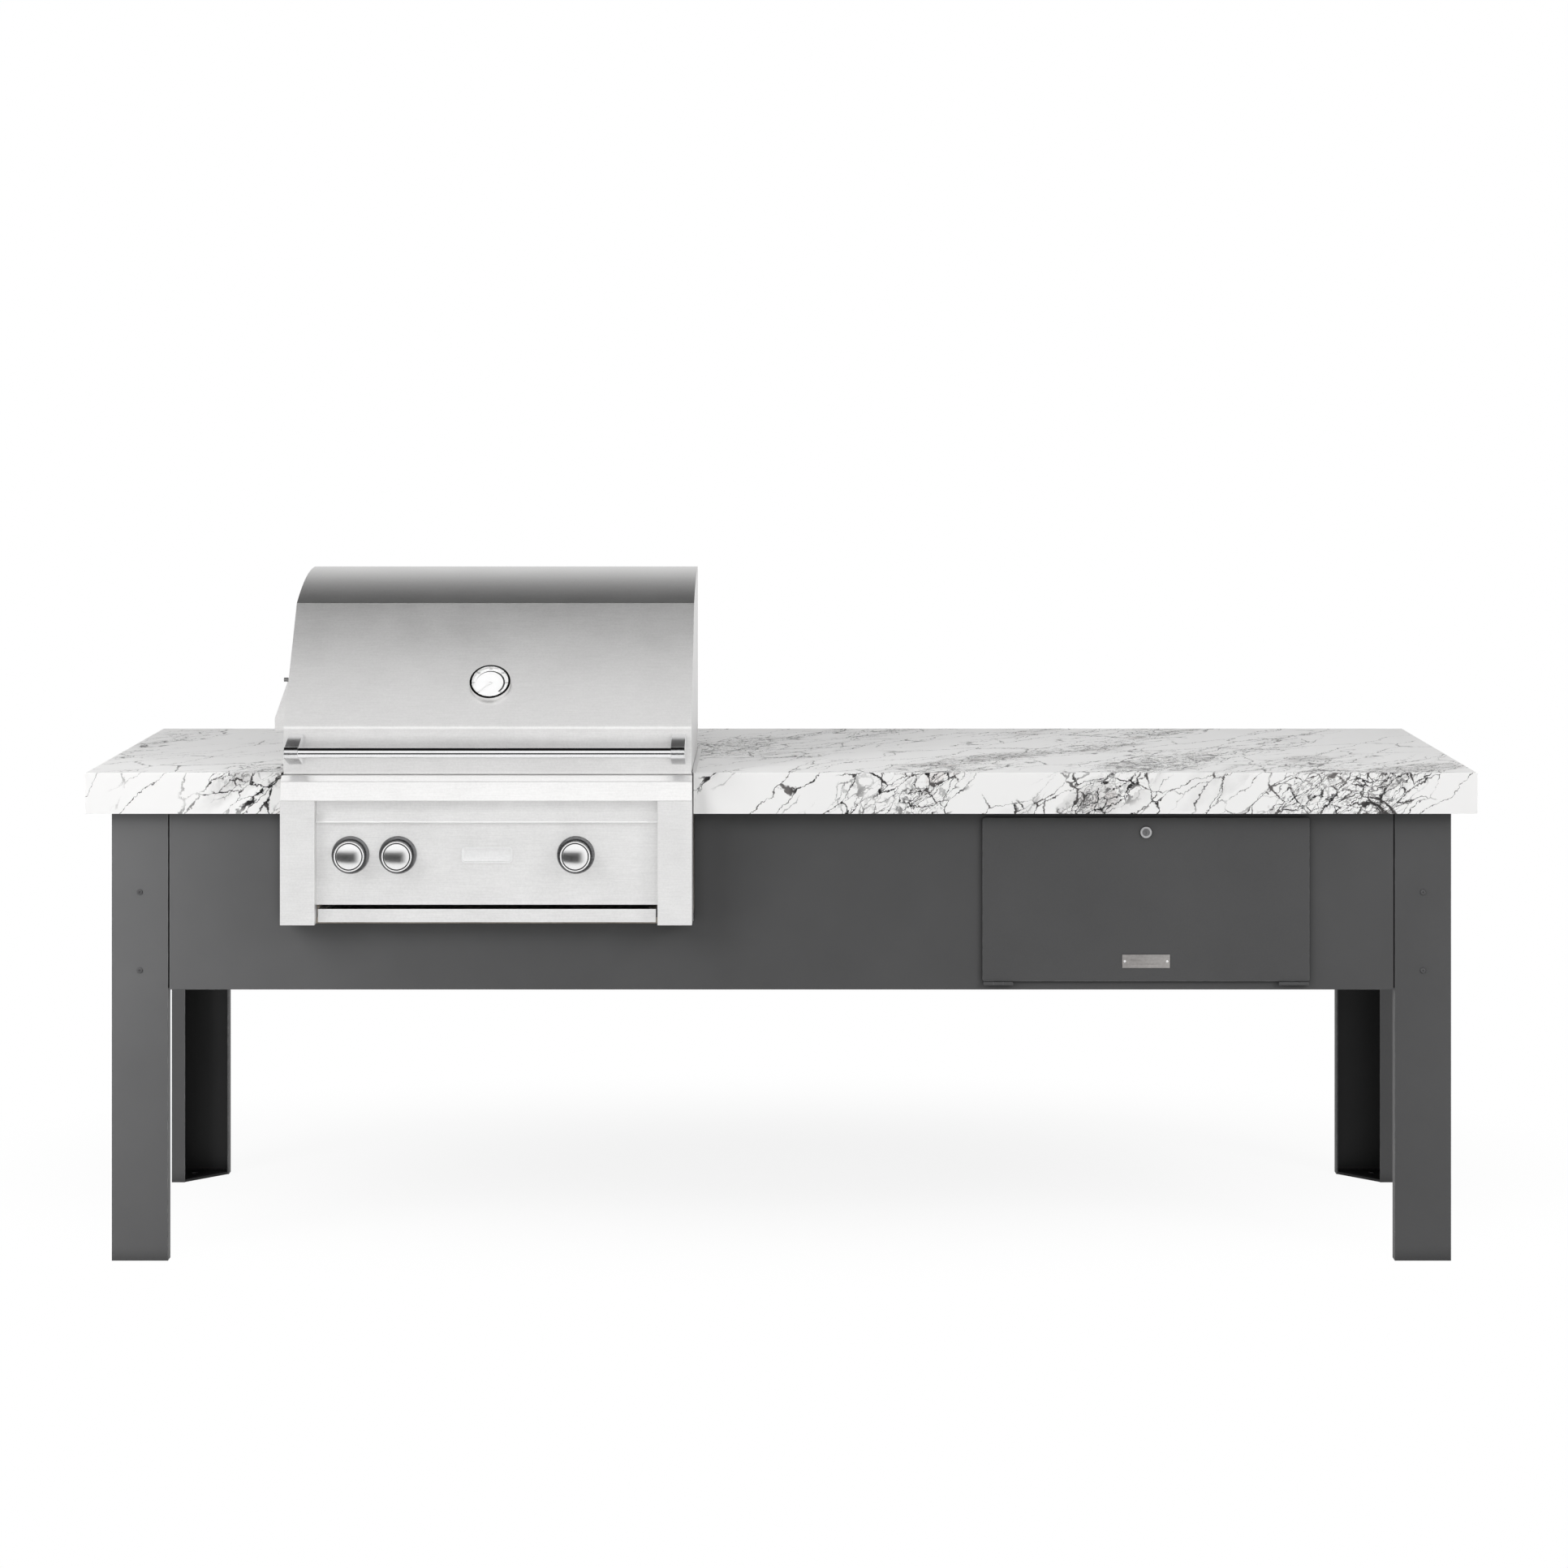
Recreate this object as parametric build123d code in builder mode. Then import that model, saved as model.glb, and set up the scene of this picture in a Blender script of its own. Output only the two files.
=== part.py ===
# Barbecue island: a steel table on four folded legs, a stone counter with mitred drop edges,
# a built-in gas grill with a lifting hood, and a drop-down door in front of a storage bin.
# Millimetres. Origin on the floor at the centre of the legs, +X right, +Y back, +Z up.
import os
from build123d import *

os.makedirs("parts", exist_ok=True)

# Counter
counter_length = 2584.0
counter_depth = 860.0
counter_height = 915.0
slab_thickness = 20.0
edge_height = 76.0
end_overhang = 42.0
front_overhang = 40.0
notch_gap = 2.0
notch_back_gap = 5.0

# Steel table
leg_width = 105.0
leg_lip = 27.0
leg_sheet = 3.0
apron_height = 389.0
apron_sheet = 3.0
apron_flange = 30.0
apron_end_gap = 2.5
lip_notch_above_apron = 37.0
foot_plate_thickness = 5.0
anchor_inset = 35.0
anchor_hole_diameter = 12.0
bracket_sheet = 3.0
bracket_reach = 105.0
bracket_top_gap = 10.0
bracket_lip_gap = 2.0
bracket_tab_drop = 30.0
screw_head_diameter = 9.6
screw_head_height = 2.6
screw_shank_diameter = 6.0
screw_tip = 4.0
screw_low_above_apron = 36.0
screw_spacing = 146.0
rail_height = 40.0
rail_width = 30.0
rail_wall = 2.5
rail_side_gap = 1.0
storage_rail_gap = 20.0
support_flange = 34.0
support_sheet = 3.0
support_inset = 4.0

# Grill face
grill_from_end = 323.0
grill_width = 762.0
grill_proud = 28.0
face_sheet = 1.5
ledge_below_counter = 5.0
ledge_drop = 11.0
ledge_face = 33.0
ledge_depth = 36.0
ledge_nose_radius = 6.0
pilaster_width = 64.0
pilaster_return = 38.0
panel_recess = 22.0
panel_sheet = 2.0
panel_height = 195.0
panel_flange = 16.0
trim_below_ledge = 24.0
trim_height = 18.0
trim_proud = 7.0
trim_hem = 2.5
badge_width = 95.0
badge_height = 31.0
badge_thickness = 2.0
badge_corner = 8.0

# Firebox, set in the counter's notch on two angle rails
firebox_setback = 88.0
firebox_wall = 6.0
firebox_sheet = 2.0
firebox_back_setback = 20.0
firebox_back_rise = 105.0
grate_ledge_below_ledge_top = 44.0
tamer_ledge_below_ledge_top = 102.0
ledge_strip = 14.0
ledge_strip_thickness = 3.0
mouth_side_gap = 2.0
pipe_hole_clearance = 0.4

# Gas train
knob_above_panel_bottom = 92.5
knob_offsets = (-253.0, -165.0, 165.0)
knob_names = ("outer_left", "inner_left", "right")
knob_diameter = 56.0
knob_length = 20.0
knob_push_room = 5.0
knob_rim = 3.0
knob_groove_width = 2.0
knob_groove_depth = 1.5
knob_dome_rise = 5.0
knob_bezel_diameter = 70.0
knob_bezel_thickness = 3.0
knob_bezel_chamfer = 2.0
knob_edge = 2.0
stem_diameter = 8.0
stem_flat = 1.5
stem_in_valve = 16.0
stem_end_gap = 2.0
stem_in_knob = 10.0
knob_push = 4.0
stem_hole_diameter = 18.0
running_clearance = 0.05
valve_size = 24.0
valve_length = 34.0
nozzle_diameter = 8.0
nozzle_length = 16.0
nozzle_in_throat = 2.0
manifold_diameter = 20.0
manifold_drop = 28.0
manifold_overrun = 30.0
inlet_diameter = 21.3
inlet_bore = 15.0
inlet_length = 30.0
inlet_offset = 334.0
inlet_turn_above_face_bottom = 12.0
inlet_behind_firebox_front = 27.0
inlet_drop = 36.0
venturi_diameter = 26.0
burner_diameter = 38.0
burner_wall = 1.5
burner_back_gap = 14.0
burner_rest_gap = 0.2
burner_rest_depth = 28.0
rear_burner_width = 560.0
rear_burner_height = 56.0
rear_burner_depth = 30.0
rear_burner_below_wall_top = 60.0
feed_diameter = 8.0
feed_behind_wall = 8.0
tamer_split = 10.0
tamer_rise = 34.0
tamer_sheet = 1.5
grate_rod_diameter = 8.0
grate_rod_count = 19
grate_split = 6.0
grate_edge_gap = 6.0
grate_bar = 8.0
grate_rod_sunk = 2.0
rack_rod_diameter = 6.0
rack_rod_count = 9
rack_depth = 130.0
rack_width = 690.0
rack_below_wall_top = 12.0

# Drip tray under the burners
tray_front_gap = 7.7
tray_front_height = 24.6
tray_end_gap = 3.5
tray_bottom_gap = 2.7
tray_front_setback = 1.0
tray_sheet = 1.5
tray_back_gap = 15.0
tray_tub_height = 13.0
tray_flange = 12.0
tray_side_gap = 3.0
tray_runner_gap = 0.2
bottom_rail_gap = 1.8
bottom_rail_setback = 4.0

# Hood
hood_inset = 2.0
hood_side_clearance = 0.5
hood_sheet = 1.5
hood_gap = 2.0
hood_front_height = 88.0
hood_bend_radius = 12.0
hood_slant_run = 186.5
hood_slant_rise = 218.0
hood_crown_rise = 55.5
hood_depth = 462.0
hood_back_drop = 283.0
hood_end_fit = 0.05
hood_open_gap = 5.0
hinge_from_hood_back = 40.0
hinge_pin_diameter = 10.0
hinge_ear_radius = 16.0
hinge_ear_sheet = 3.0
hinge_head = 3.0
hinge_head_diameter = 16.0
liner_gap = 14.0
liner_sheet = 1.0
liner_above_bottom = 18.0
handle_diameter = 19.0
handle_length = 737.0
handle_standoff = 68.0
handle_above_hood_bottom = 46.0
handle_sleeve_diameter = 22.5
handle_post_width = 26.0
handle_post_foot = 56.0
handle_post_neck = 20.0

# Thermometer on the hood's slanted face
gauge_along_slant = 97.0
gauge_diameter = 76.6
gauge_height = 9.0
gauge_rim = 4.0
gauge_dial_depth = 5.0
gauge_lens_thickness = 1.5
gauge_stem_diameter = 10.0
gauge_stem_length = 45.0
needle_length = 26.0
needle_width = 3.0
needle_thickness = 0.8
needle_hub_diameter = 7.0
needle_pin_diameter = 2.0
needle_pin_gap = 1.5
needle_rest = 225.0

# Rotisserie motor bracket on the grill's left side
spit_bracket_setback = 338.0
spit_bracket_depth = 60.0
spit_bracket_sheet = 2.0
spit_bracket_reach = 55.5
spit_bracket_low = 52.0
spit_bracket_mid = 76.0
spit_bracket_top = 150.0
spit_bracket_top_reach = 29.5
spit_bracket_foot = 45.0
spit_pin_diameter = 5.0
spit_pin_height = 8.0

# Drop-down door, its hinges and its cam lock
door_from_end = 265.0
door_width = 610.0
door_below_edge = 11.5
door_above_apron_bottom = 16.5
door_sheet = 2.5
door_proud = 6.0
door_seat_gap = 0.8
door_corner = 5.0
door_overlap_side = 15.0
door_overlap_top = 14.5
door_overlap_bottom = 20.0
barrel_diameter = 7.0
barrel_length = 55.0
barrel_end_inset = 2.0
barrel_gap = 0.3
barrel_below_door = 0.5
barrel_ahead_of_door = 0.5
hinge_pin_small = 3.4
leaf_sheet = 1.2
leaf_height = 16.0
lock_below_opening = 12.5
lock_flange_diameter = 21.0
lock_flange_height = 3.0
lock_barrel_diameter = 19.0
lock_plug_diameter = 14.0
lock_slot_width = 1.6
lock_slot_length = 8.0
lock_slot_depth = 1.5
cam_length = 28.0
cam_width = 14.0
cam_sheet = 2.5
cam_gap = 0.5
nameplate_width = 89.0
nameplate_height = 25.0
nameplate_thickness = 1.0
nameplate_above_door_bottom = 37.5

# Storage bin behind the door
bin_sheet = 1.2
bin_depth = 447.0
bin_flange = 14.0
bin_side_margin = 10.0
bin_floor_margin = 14.0
bin_above_cam = 4.5

# Places worked out from the sizes above
frame_length = counter_length - 2 * end_overhang
frame_depth = counter_depth - 2 * front_overhang
slab_bottom = counter_height - slab_thickness
edge_bottom = counter_height - edge_height
apron_bottom = slab_bottom - apron_height
apron_front = -frame_depth / 2
apron_back = apron_front + apron_sheet
lip_top = apron_bottom + lip_notch_above_apron
screw_low = apron_bottom + screw_low_above_apron
screw_levels = (screw_low, screw_low + screw_spacing)
screw_x = frame_length / 2 - leg_width / 2
screw_y = frame_depth / 2 - leg_width / 2

face_y = -counter_depth / 2 - grill_proud
half_grill = grill_width / 2
grill_center = half_grill + grill_from_end - frame_length / 2
half_notch = half_grill + notch_gap
ledge_top = counter_height - ledge_below_counter
ledge_nose = ledge_top - ledge_drop
ledge_bottom = ledge_nose - ledge_face
half_panel = half_grill - pilaster_width
panel_y = face_y + panel_recess
panel_back = panel_y + panel_sheet
panel_bottom = ledge_bottom - panel_height
knob_z = panel_bottom + knob_above_panel_bottom

hood_front = face_y + ledge_depth
hood_back = hood_front + hood_depth
hood_bottom = ledge_top + hood_gap
hood_bend = hood_bottom + hood_front_height
crease_y = hood_front + hood_slant_run
crease_z = hood_bend + hood_slant_rise
crown_z = crease_z + hood_crown_rise
half_hood = half_grill - hood_inset
pivot_y = hood_back - hinge_from_hood_back
pivot_z = counter_height + hinge_from_hood_back + hood_open_gap
notch_back = hood_back + notch_back_gap

firebox_front = face_y + firebox_setback
firebox_back = pivot_y - firebox_back_setback
firebox_end = pivot_y + hinge_ear_radius
half_firebox = half_hood + hood_side_clearance
half_chamber = half_firebox - firebox_wall
back_wall_top = ledge_top + firebox_back_rise
grate_ledge = ledge_top - grate_ledge_below_ledge_top
tamer_ledge = ledge_top - tamer_ledge_below_ledge_top
chamber_front = firebox_front + firebox_sheet
chamber_back = firebox_back - firebox_sheet
valve_back = panel_back + valve_length
nozzle_tip = valve_back + nozzle_length
manifold_y = valve_back - manifold_diameter / 4
manifold_z = knob_z - manifold_drop

tray_top = panel_bottom - tray_front_gap
tray_bottom = tray_top - tray_front_height
face_bottom = tray_bottom - tray_bottom_gap
tray_flange_top = tray_top - tray_sheet
tub_bottom = tray_flange_top - tray_tub_height
half_tray_front = half_panel - tray_end_gap
half_tub = half_tray_front - tray_flange
runner_top = tray_flange_top - tray_sheet - tray_runner_gap
tray_y = panel_y - tray_front_setback
tray_end = chamber_back - tray_back_gap
inlet_x = grill_center + inlet_offset
inlet_turn_z = face_bottom + inlet_turn_above_face_bottom

door_center = frame_length / 2 - door_from_end - door_width / 2
door_top = edge_bottom - door_below_edge
door_bottom = apron_bottom + door_above_apron_bottom
door_face = apron_front - door_proud
door_inner = door_face + door_sheet
axis_y = door_face - barrel_ahead_of_door
axis_z = door_bottom - barrel_below_door - barrel_diameter / 2
cam_front = apron_back + cam_gap
opening_half = door_width / 2 - door_overlap_side
opening_top = door_top - door_overlap_top
lock_z = opening_top - lock_below_opening
opening_bottom = door_bottom + door_overlap_bottom


def block(x, y, z, mode=Mode.ADD):
    """A rectangular block given by its two limits along each axis."""
    with Locations(((x[0] + x[1]) / 2, (y[0] + y[1]) / 2, (z[0] + z[1]) / 2)):
        Box(abs(x[1] - x[0]), abs(y[1] - y[0]), abs(z[1] - z[0]), mode=mode)


def rod(start, end, diameter, mode=Mode.ADD):
    """A round bar between two points."""
    first, last = Vector(*start), Vector(*end)
    with Locations(Plane(origin=(first + last) / 2, z_dir=last - first)):
        Cylinder(diameter / 2, (last - first).length, mode=mode)


corners = {
    "front_left": (-1, -1),
    "front_right": (1, -1),
    "rear_left": (-1, 1),
    "rear_right": (1, 1),
}


def inward(side, limit, start, end):
    """Two limits measured inward from the frame's outer face on one side."""
    return side * (limit - start), side * (limit - end)


# Legs: one folded sheet each, two faces with a return lip on their free edges
for name, (side_x, side_y) in corners.items():
    with BuildPart() as leg:
        full_x = inward(side_x, frame_length / 2, 0, leg_width)
        full_y = inward(side_y, frame_depth / 2, 0, leg_width)
        skin_x = inward(side_x, frame_length / 2, 0, leg_sheet)
        skin_y = inward(side_y, frame_depth / 2, 0, leg_sheet)
        block(full_x, skin_y, (0, slab_bottom))
        block(skin_x, full_y, (0, slab_bottom))
        edge_x = inward(side_x, frame_length / 2, leg_width - leg_sheet, leg_width)
        edge_y = inward(side_y, frame_depth / 2, leg_width - leg_sheet, leg_width)
        block(edge_x, inward(side_y, frame_depth / 2, 0, leg_lip), (0, lip_top))
        block(inward(side_x, frame_length / 2, 0, leg_lip), edge_y, (0, lip_top))
        on_x = side_x * screw_x
        on_y = side_y * screw_y
        for level in screw_levels:
            rod((on_x, skin_y[0], level), (on_x, skin_y[1], level), screw_shank_diameter, Mode.SUBTRACT)
            rod((skin_x[0], on_y, level), (skin_x[1], on_y, level), screw_shank_diameter, Mode.SUBTRACT)
    leg.part.label = f"leg_{name}"
    export_step(leg.part, f"parts/leg_{name}.step")

# Foot plates: a five-sided plate inside each leg, with a floor anchor hole
with BuildPart() as foot_plates:
    with BuildSketch():
        for side_x, side_y in corners.values():
            near_x = side_x * (frame_length / 2 - leg_sheet)
            near_y = side_y * (frame_depth / 2 - leg_sheet)
            far_x = side_x * (frame_length / 2 - leg_width + leg_sheet)
            far_y = side_y * (frame_depth / 2 - leg_width + leg_sheet)
            lip_x = side_x * (frame_length / 2 - leg_lip)
            lip_y = side_y * (frame_depth / 2 - leg_lip)
            with BuildLine():
                Polyline((near_x, near_y), (far_x, near_y), (far_x, lip_y), (lip_x, far_y),
                         (near_x, far_y), close=True)
            make_face()
            anchor_x = side_x * (frame_length / 2 - anchor_inset)
            anchor_y = side_y * (frame_depth / 2 - anchor_inset)
            with Locations((anchor_x, anchor_y)):
                Circle(anchor_hole_diameter / 2, mode=Mode.SUBTRACT)
    extrude(amount=foot_plate_thickness)
foot_plates.part.label = "foot_plates"
export_step(foot_plates.part, "parts/foot_plates.step")

# Corner brackets: angles that splice each leg to the two aprons beside it
with BuildPart() as corner_brackets:
    for side_x, side_y in corners.values():
        span = leg_width + bracket_reach
        bracket_z = (lip_top + bracket_lip_gap, slab_bottom - bracket_top_gap)
        tab_z = (lip_top + bracket_lip_gap - bracket_tab_drop, lip_top + bracket_lip_gap)
        skin_x = inward(side_x, frame_length / 2, leg_sheet, leg_sheet + bracket_sheet)
        skin_y = inward(side_y, frame_depth / 2, leg_sheet, leg_sheet + bracket_sheet)
        block(inward(side_x, frame_length / 2, leg_sheet, span), skin_y, bracket_z)
        block(skin_x, inward(side_y, frame_depth / 2, leg_sheet, span), bracket_z)
        tab_end = leg_width - leg_lip
        block(inward(side_x, frame_length / 2, leg_sheet, tab_end), skin_y, tab_z)
        block(skin_x, inward(side_y, frame_depth / 2, leg_sheet, tab_end), tab_z)
        on_x = side_x * screw_x
        on_y = side_y * screw_y
        for level in screw_levels:
            rod((on_x, skin_y[0], level), (on_x, skin_y[1], level), screw_shank_diameter, Mode.SUBTRACT)
            rod((skin_x[0], on_y, level), (skin_x[1], on_y, level), screw_shank_diameter, Mode.SUBTRACT)
corner_brackets.part.label = "corner_brackets"
export_step(corner_brackets.part, "parts/corner_brackets.step")

# Leg screws: button heads, two on each leg face, through leg and bracket
with BuildPart() as leg_screws:
    deep = leg_sheet + bracket_sheet + screw_tip
    for side_x, side_y in corners.values():
        on_x = side_x * screw_x
        on_y = side_y * screw_y
        head_x = inward(side_x, frame_length / 2, -screw_head_height, 0)
        head_y = inward(side_y, frame_depth / 2, -screw_head_height, 0)
        shank_x = inward(side_x, frame_length / 2, 0, deep)
        shank_y = inward(side_y, frame_depth / 2, 0, deep)
        for level in screw_levels:
            rod((on_x, head_y[0], level), (on_x, head_y[1], level), screw_head_diameter)
            rod((on_x, shank_y[0], level), (on_x, shank_y[1], level), screw_shank_diameter)
            rod((head_x[0], on_y, level), (head_x[1], on_y, level), screw_head_diameter)
            rod((shank_x[0], on_y, level), (shank_x[1], on_y, level), screw_shank_diameter)
leg_screws.part.label = "leg_screws"
export_step(leg_screws.part, "parts/leg_screws.step")

# Front apron: a sheet with a stiffening fold, cut for the grill and for the door
apron_half_length = frame_length / 2 - leg_width - apron_end_gap
with BuildPart() as front_apron:
    block((-apron_half_length, apron_half_length), (apron_front, apron_back), (apron_bottom, slab_bottom))
    block((-apron_half_length, apron_half_length), (apron_front, apron_front + apron_flange),
          (apron_bottom, apron_bottom + apron_sheet))
    block((grill_center - half_notch, grill_center + half_notch), (apron_front, apron_back),
          (face_bottom - notch_gap, slab_bottom), Mode.SUBTRACT)
    block((door_center - opening_half, door_center + opening_half), (apron_front, apron_back),
          (opening_bottom, opening_top), Mode.SUBTRACT)
front_apron.part.label = "front_apron"
export_step(front_apron.part, "parts/front_apron.step")

# Rear apron
with BuildPart() as rear_apron:
    block((-apron_half_length, apron_half_length), (-apron_back, -apron_front), (apron_bottom, slab_bottom))
    block((-apron_half_length, apron_half_length), (-apron_front - apron_flange, -apron_front),
          (apron_bottom, apron_bottom + apron_sheet))
rear_apron.part.label = "rear_apron"
export_step(rear_apron.part, "parts/rear_apron.step")

# End aprons
apron_half_depth = frame_depth / 2 - leg_width - apron_end_gap
for name, side_x in (("left", -1), ("right", 1)):
    with BuildPart() as end_apron:
        block(inward(side_x, frame_length / 2, 0, apron_sheet), (-apron_half_depth, apron_half_depth),
              (apron_bottom, slab_bottom))
        block(inward(side_x, frame_length / 2, 0, apron_flange), (-apron_half_depth, apron_half_depth),
              (apron_bottom, apron_bottom + apron_sheet))
    end_apron.part.label = f"{name}_apron"
    export_step(end_apron.part, f"parts/{name}_apron.step")

# Counter rails: square tubes under the slab, one beside each cut and each side of the bin
rail_low = slab_bottom - rail_height
left_rail = grill_center - half_notch - rail_side_gap - rail_width
right_rail = grill_center + half_notch + rail_side_gap
bin_half = opening_half + bin_side_margin
cross_rail_places = (
    left_rail,
    right_rail,
    door_center - bin_half - storage_rail_gap - rail_width,
    door_center + bin_half + storage_rail_gap,
)
back_rail_y = (notch_back + rail_side_gap, notch_back + rail_side_gap + rail_width)
with BuildPart() as counter_rails:
    for place in cross_rail_places:
        block((place, place + rail_width), (apron_back, -apron_back), (rail_low, slab_bottom))
        block((place + rail_wall, place + rail_width - rail_wall), (apron_back, -apron_back),
              (rail_low + rail_wall, slab_bottom - rail_wall), Mode.SUBTRACT)
    block((left_rail + rail_width, right_rail), back_rail_y, (rail_low, slab_bottom))
    block((left_rail + rail_width, right_rail), (back_rail_y[0] + rail_wall, back_rail_y[1] - rail_wall),
          (rail_low + rail_wall, slab_bottom - rail_wall), Mode.SUBTRACT)
counter_rails.part.label = "counter_rails"
export_step(counter_rails.part, "parts/counter_rails.step")

# Grill support rails: two angles from apron to apron that the firebox stands on
with BuildPart() as grill_support_rails:
    for side in (-1, 1):
        outer = grill_center + side * (half_firebox + support_inset)
        block((outer, outer - side * support_flange), (apron_back, -apron_back),
              (face_bottom - support_sheet, face_bottom))
        block((outer, outer - side * support_sheet), (apron_back, -apron_back),
              (face_bottom - support_flange, face_bottom))
grill_support_rails.part.label = "grill_support_rails"
export_step(grill_support_rails.part, "parts/grill_support_rails.step")

# Storage bin: an open-fronted box flanged to the back of the front apron
bin_floor = opening_bottom - bin_floor_margin
bin_top = lock_z + cam_length + bin_above_cam
with BuildPart() as storage_bin:
    bin_x = (door_center - bin_half, door_center + bin_half)
    block(bin_x, (apron_back, apron_back + bin_depth), (bin_floor, bin_top))
    block((bin_x[0] - bin_flange, bin_x[1] + bin_flange), (apron_back, apron_back + bin_sheet),
          (bin_floor - bin_flange, bin_top + bin_flange))
    block((bin_x[0] + bin_sheet, bin_x[1] - bin_sheet), (apron_back, apron_back + bin_depth - bin_sheet),
          (bin_floor + bin_sheet, bin_top - bin_sheet), Mode.SUBTRACT)
storage_bin.part.label = "storage_bin"
export_step(storage_bin.part, "parts/storage_bin.step")

# Counter slab: its outer edges are cut back at 45 degrees for the drop edges
with BuildPart() as counter_slab:
    with BuildSketch(Plane.XY.offset(slab_bottom)):
        Rectangle(counter_length - 2 * slab_thickness, counter_depth - 2 * slab_thickness)
    extrude(amount=slab_thickness, taper=-45)
    block((grill_center - half_notch, grill_center + half_notch), (-counter_depth / 2, notch_back),
          (slab_bottom, counter_height), Mode.SUBTRACT)
counter_slab.part.label = "counter_slab"
export_step(counter_slab.part, "parts/counter_slab.step")

# Drop edges: stone strips mitred to the slab and to each other
half_length = counter_length / 2
half_depth = counter_depth / 2
long_edges = {
    "counter_edge_front_left": (-1, -half_length, grill_center - half_notch),
    "counter_edge_front_right": (-1, grill_center + half_notch, half_length),
    "counter_edge_rear": (1, -half_length, half_length),
}
for name, (side_y, start, end) in long_edges.items():
    with BuildPart() as edge:
        section = Plane(origin=(start, side_y * half_depth, 0), x_dir=(0, -side_y, 0), z_dir=(-side_y, 0, 0))
        with BuildSketch(section):
            with BuildLine():
                Polyline((0, edge_bottom), (0, counter_height), (slab_thickness, slab_bottom),
                         (slab_thickness, edge_bottom), close=True)
            make_face()
        extrude(amount=-side_y * (end - start))
        for side_x, limit in ((-1, start), (1, end)):
            if abs(limit) == half_length:
                mitre = Plane(origin=(limit, side_y * half_depth, 0), z_dir=(-side_x, side_y, 0))
                split(bisect_by=mitre, keep=Keep.TOP)
    edge.part.label = name
    export_step(edge.part, f"parts/{name}.step")
for name, side_x in (("counter_edge_left", -1), ("counter_edge_right", 1)):
    with BuildPart() as edge:
        section = Plane(origin=(side_x * half_length, 0, 0), x_dir=(-side_x, 0, 0), z_dir=(0, side_x, 0))
        with BuildSketch(section):
            with BuildLine():
                Polyline((0, edge_bottom), (0, counter_height), (slab_thickness, slab_bottom),
                         (slab_thickness, edge_bottom), close=True)
            make_face()
        extrude(amount=half_depth, both=True)
        for side_y in (-1, 1):
            mitre = Plane(origin=(side_x * half_length, side_y * half_depth, 0), z_dir=(side_x, -side_y, 0))
            split(bisect_by=mitre, keep=Keep.TOP)
    edge.part.label = name
    export_step(edge.part, f"parts/{name}.step")

# Firebox: double side walls, a front wall over the tray mouth, a tall back wall and two hinge ears
burner_offsets = knob_offsets[1:]
rear_feed_x = grill_center + knob_offsets[0]
rear_burner_z = back_wall_top - rear_burner_below_wall_top
burner_rest = knob_z - burner_diameter / 2 - burner_rest_gap
mouth_half = half_panel + mouth_side_gap
chamber_x = (grill_center - half_chamber, grill_center + half_chamber)
front_strip = (chamber_front, chamber_front + ledge_strip)
back_strip = (chamber_back - ledge_strip, chamber_back)
with BuildPart() as firebox:
    block((grill_center - half_firebox, grill_center + half_firebox), (firebox_front, chamber_front),
          (face_bottom, ledge_top))
    block((grill_center - mouth_half, grill_center + mouth_half), (firebox_front, chamber_front),
          (face_bottom, panel_bottom), Mode.SUBTRACT)
    block(chamber_x, (chamber_back, firebox_back), (face_bottom, back_wall_top))
    for strip in (front_strip, back_strip):
        block(chamber_x, strip, (grate_ledge - ledge_strip_thickness, grate_ledge))
        block(chamber_x, strip, (tamer_ledge - ledge_strip_thickness, tamer_ledge))
    block(chamber_x, (chamber_back - burner_rest_depth, chamber_back),
          (burner_rest - ledge_strip_thickness, burner_rest))
    for side in (-1, 1):
        outer = grill_center + side * half_firebox
        inner = grill_center + side * half_chamber
        ear = (inner, inner + side * hinge_ear_sheet)
        block((outer, inner), (firebox_front, firebox_end), (face_bottom, ledge_top))
        block(ear, (pivot_y - hinge_ear_radius, pivot_y + hinge_ear_radius), (ledge_top, pivot_z))
        rod((ear[0], pivot_y, pivot_z), (ear[1], pivot_y, pivot_z), 2 * hinge_ear_radius)
        rod((ear[0], pivot_y, pivot_z), (ear[1], pivot_y, pivot_z),
            hinge_pin_diameter + 2 * running_clearance, Mode.SUBTRACT)
    for offset_x in burner_offsets:
        place = grill_center + offset_x
        rod((place, firebox_front, knob_z), (place, chamber_front, knob_z),
            venturi_diameter + 2 * pipe_hole_clearance, Mode.SUBTRACT)
    rod((inlet_x, firebox_front, inlet_turn_z), (inlet_x, chamber_front, inlet_turn_z),
        manifold_diameter + 2 * pipe_hole_clearance, Mode.SUBTRACT)
    feed_holes = (
        (firebox_front, chamber_front, knob_z),
        (chamber_back, firebox_back, knob_z),
        (chamber_back, firebox_back, rear_burner_z),
    )
    for start, end, level in feed_holes:
        rod((rear_feed_x, start, level), (rear_feed_x, end, level),
            feed_diameter + 2 * pipe_hole_clearance, Mode.SUBTRACT)
firebox.part.label = "firebox"
export_step(firebox.part, "parts/firebox.step")

# Pilasters: folded columns each side of the control panel
for name, side in (("left", -1), ("right", 1)):
    with BuildPart() as pilaster:
        outer = grill_center + side * half_grill
        inner = grill_center + side * half_panel
        block((outer, inner), (face_y, face_y + face_sheet), (face_bottom, ledge_bottom))
        block((outer, outer - side * face_sheet), (face_y, firebox_front), (face_bottom, ledge_bottom))
        block((inner, inner + side * face_sheet), (face_y, face_y + pilaster_return),
              (face_bottom, ledge_bottom))
    pilaster.part.label = f"pilaster_{name}"
    export_step(pilaster.part, f"parts/pilaster_{name}.step")

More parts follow.
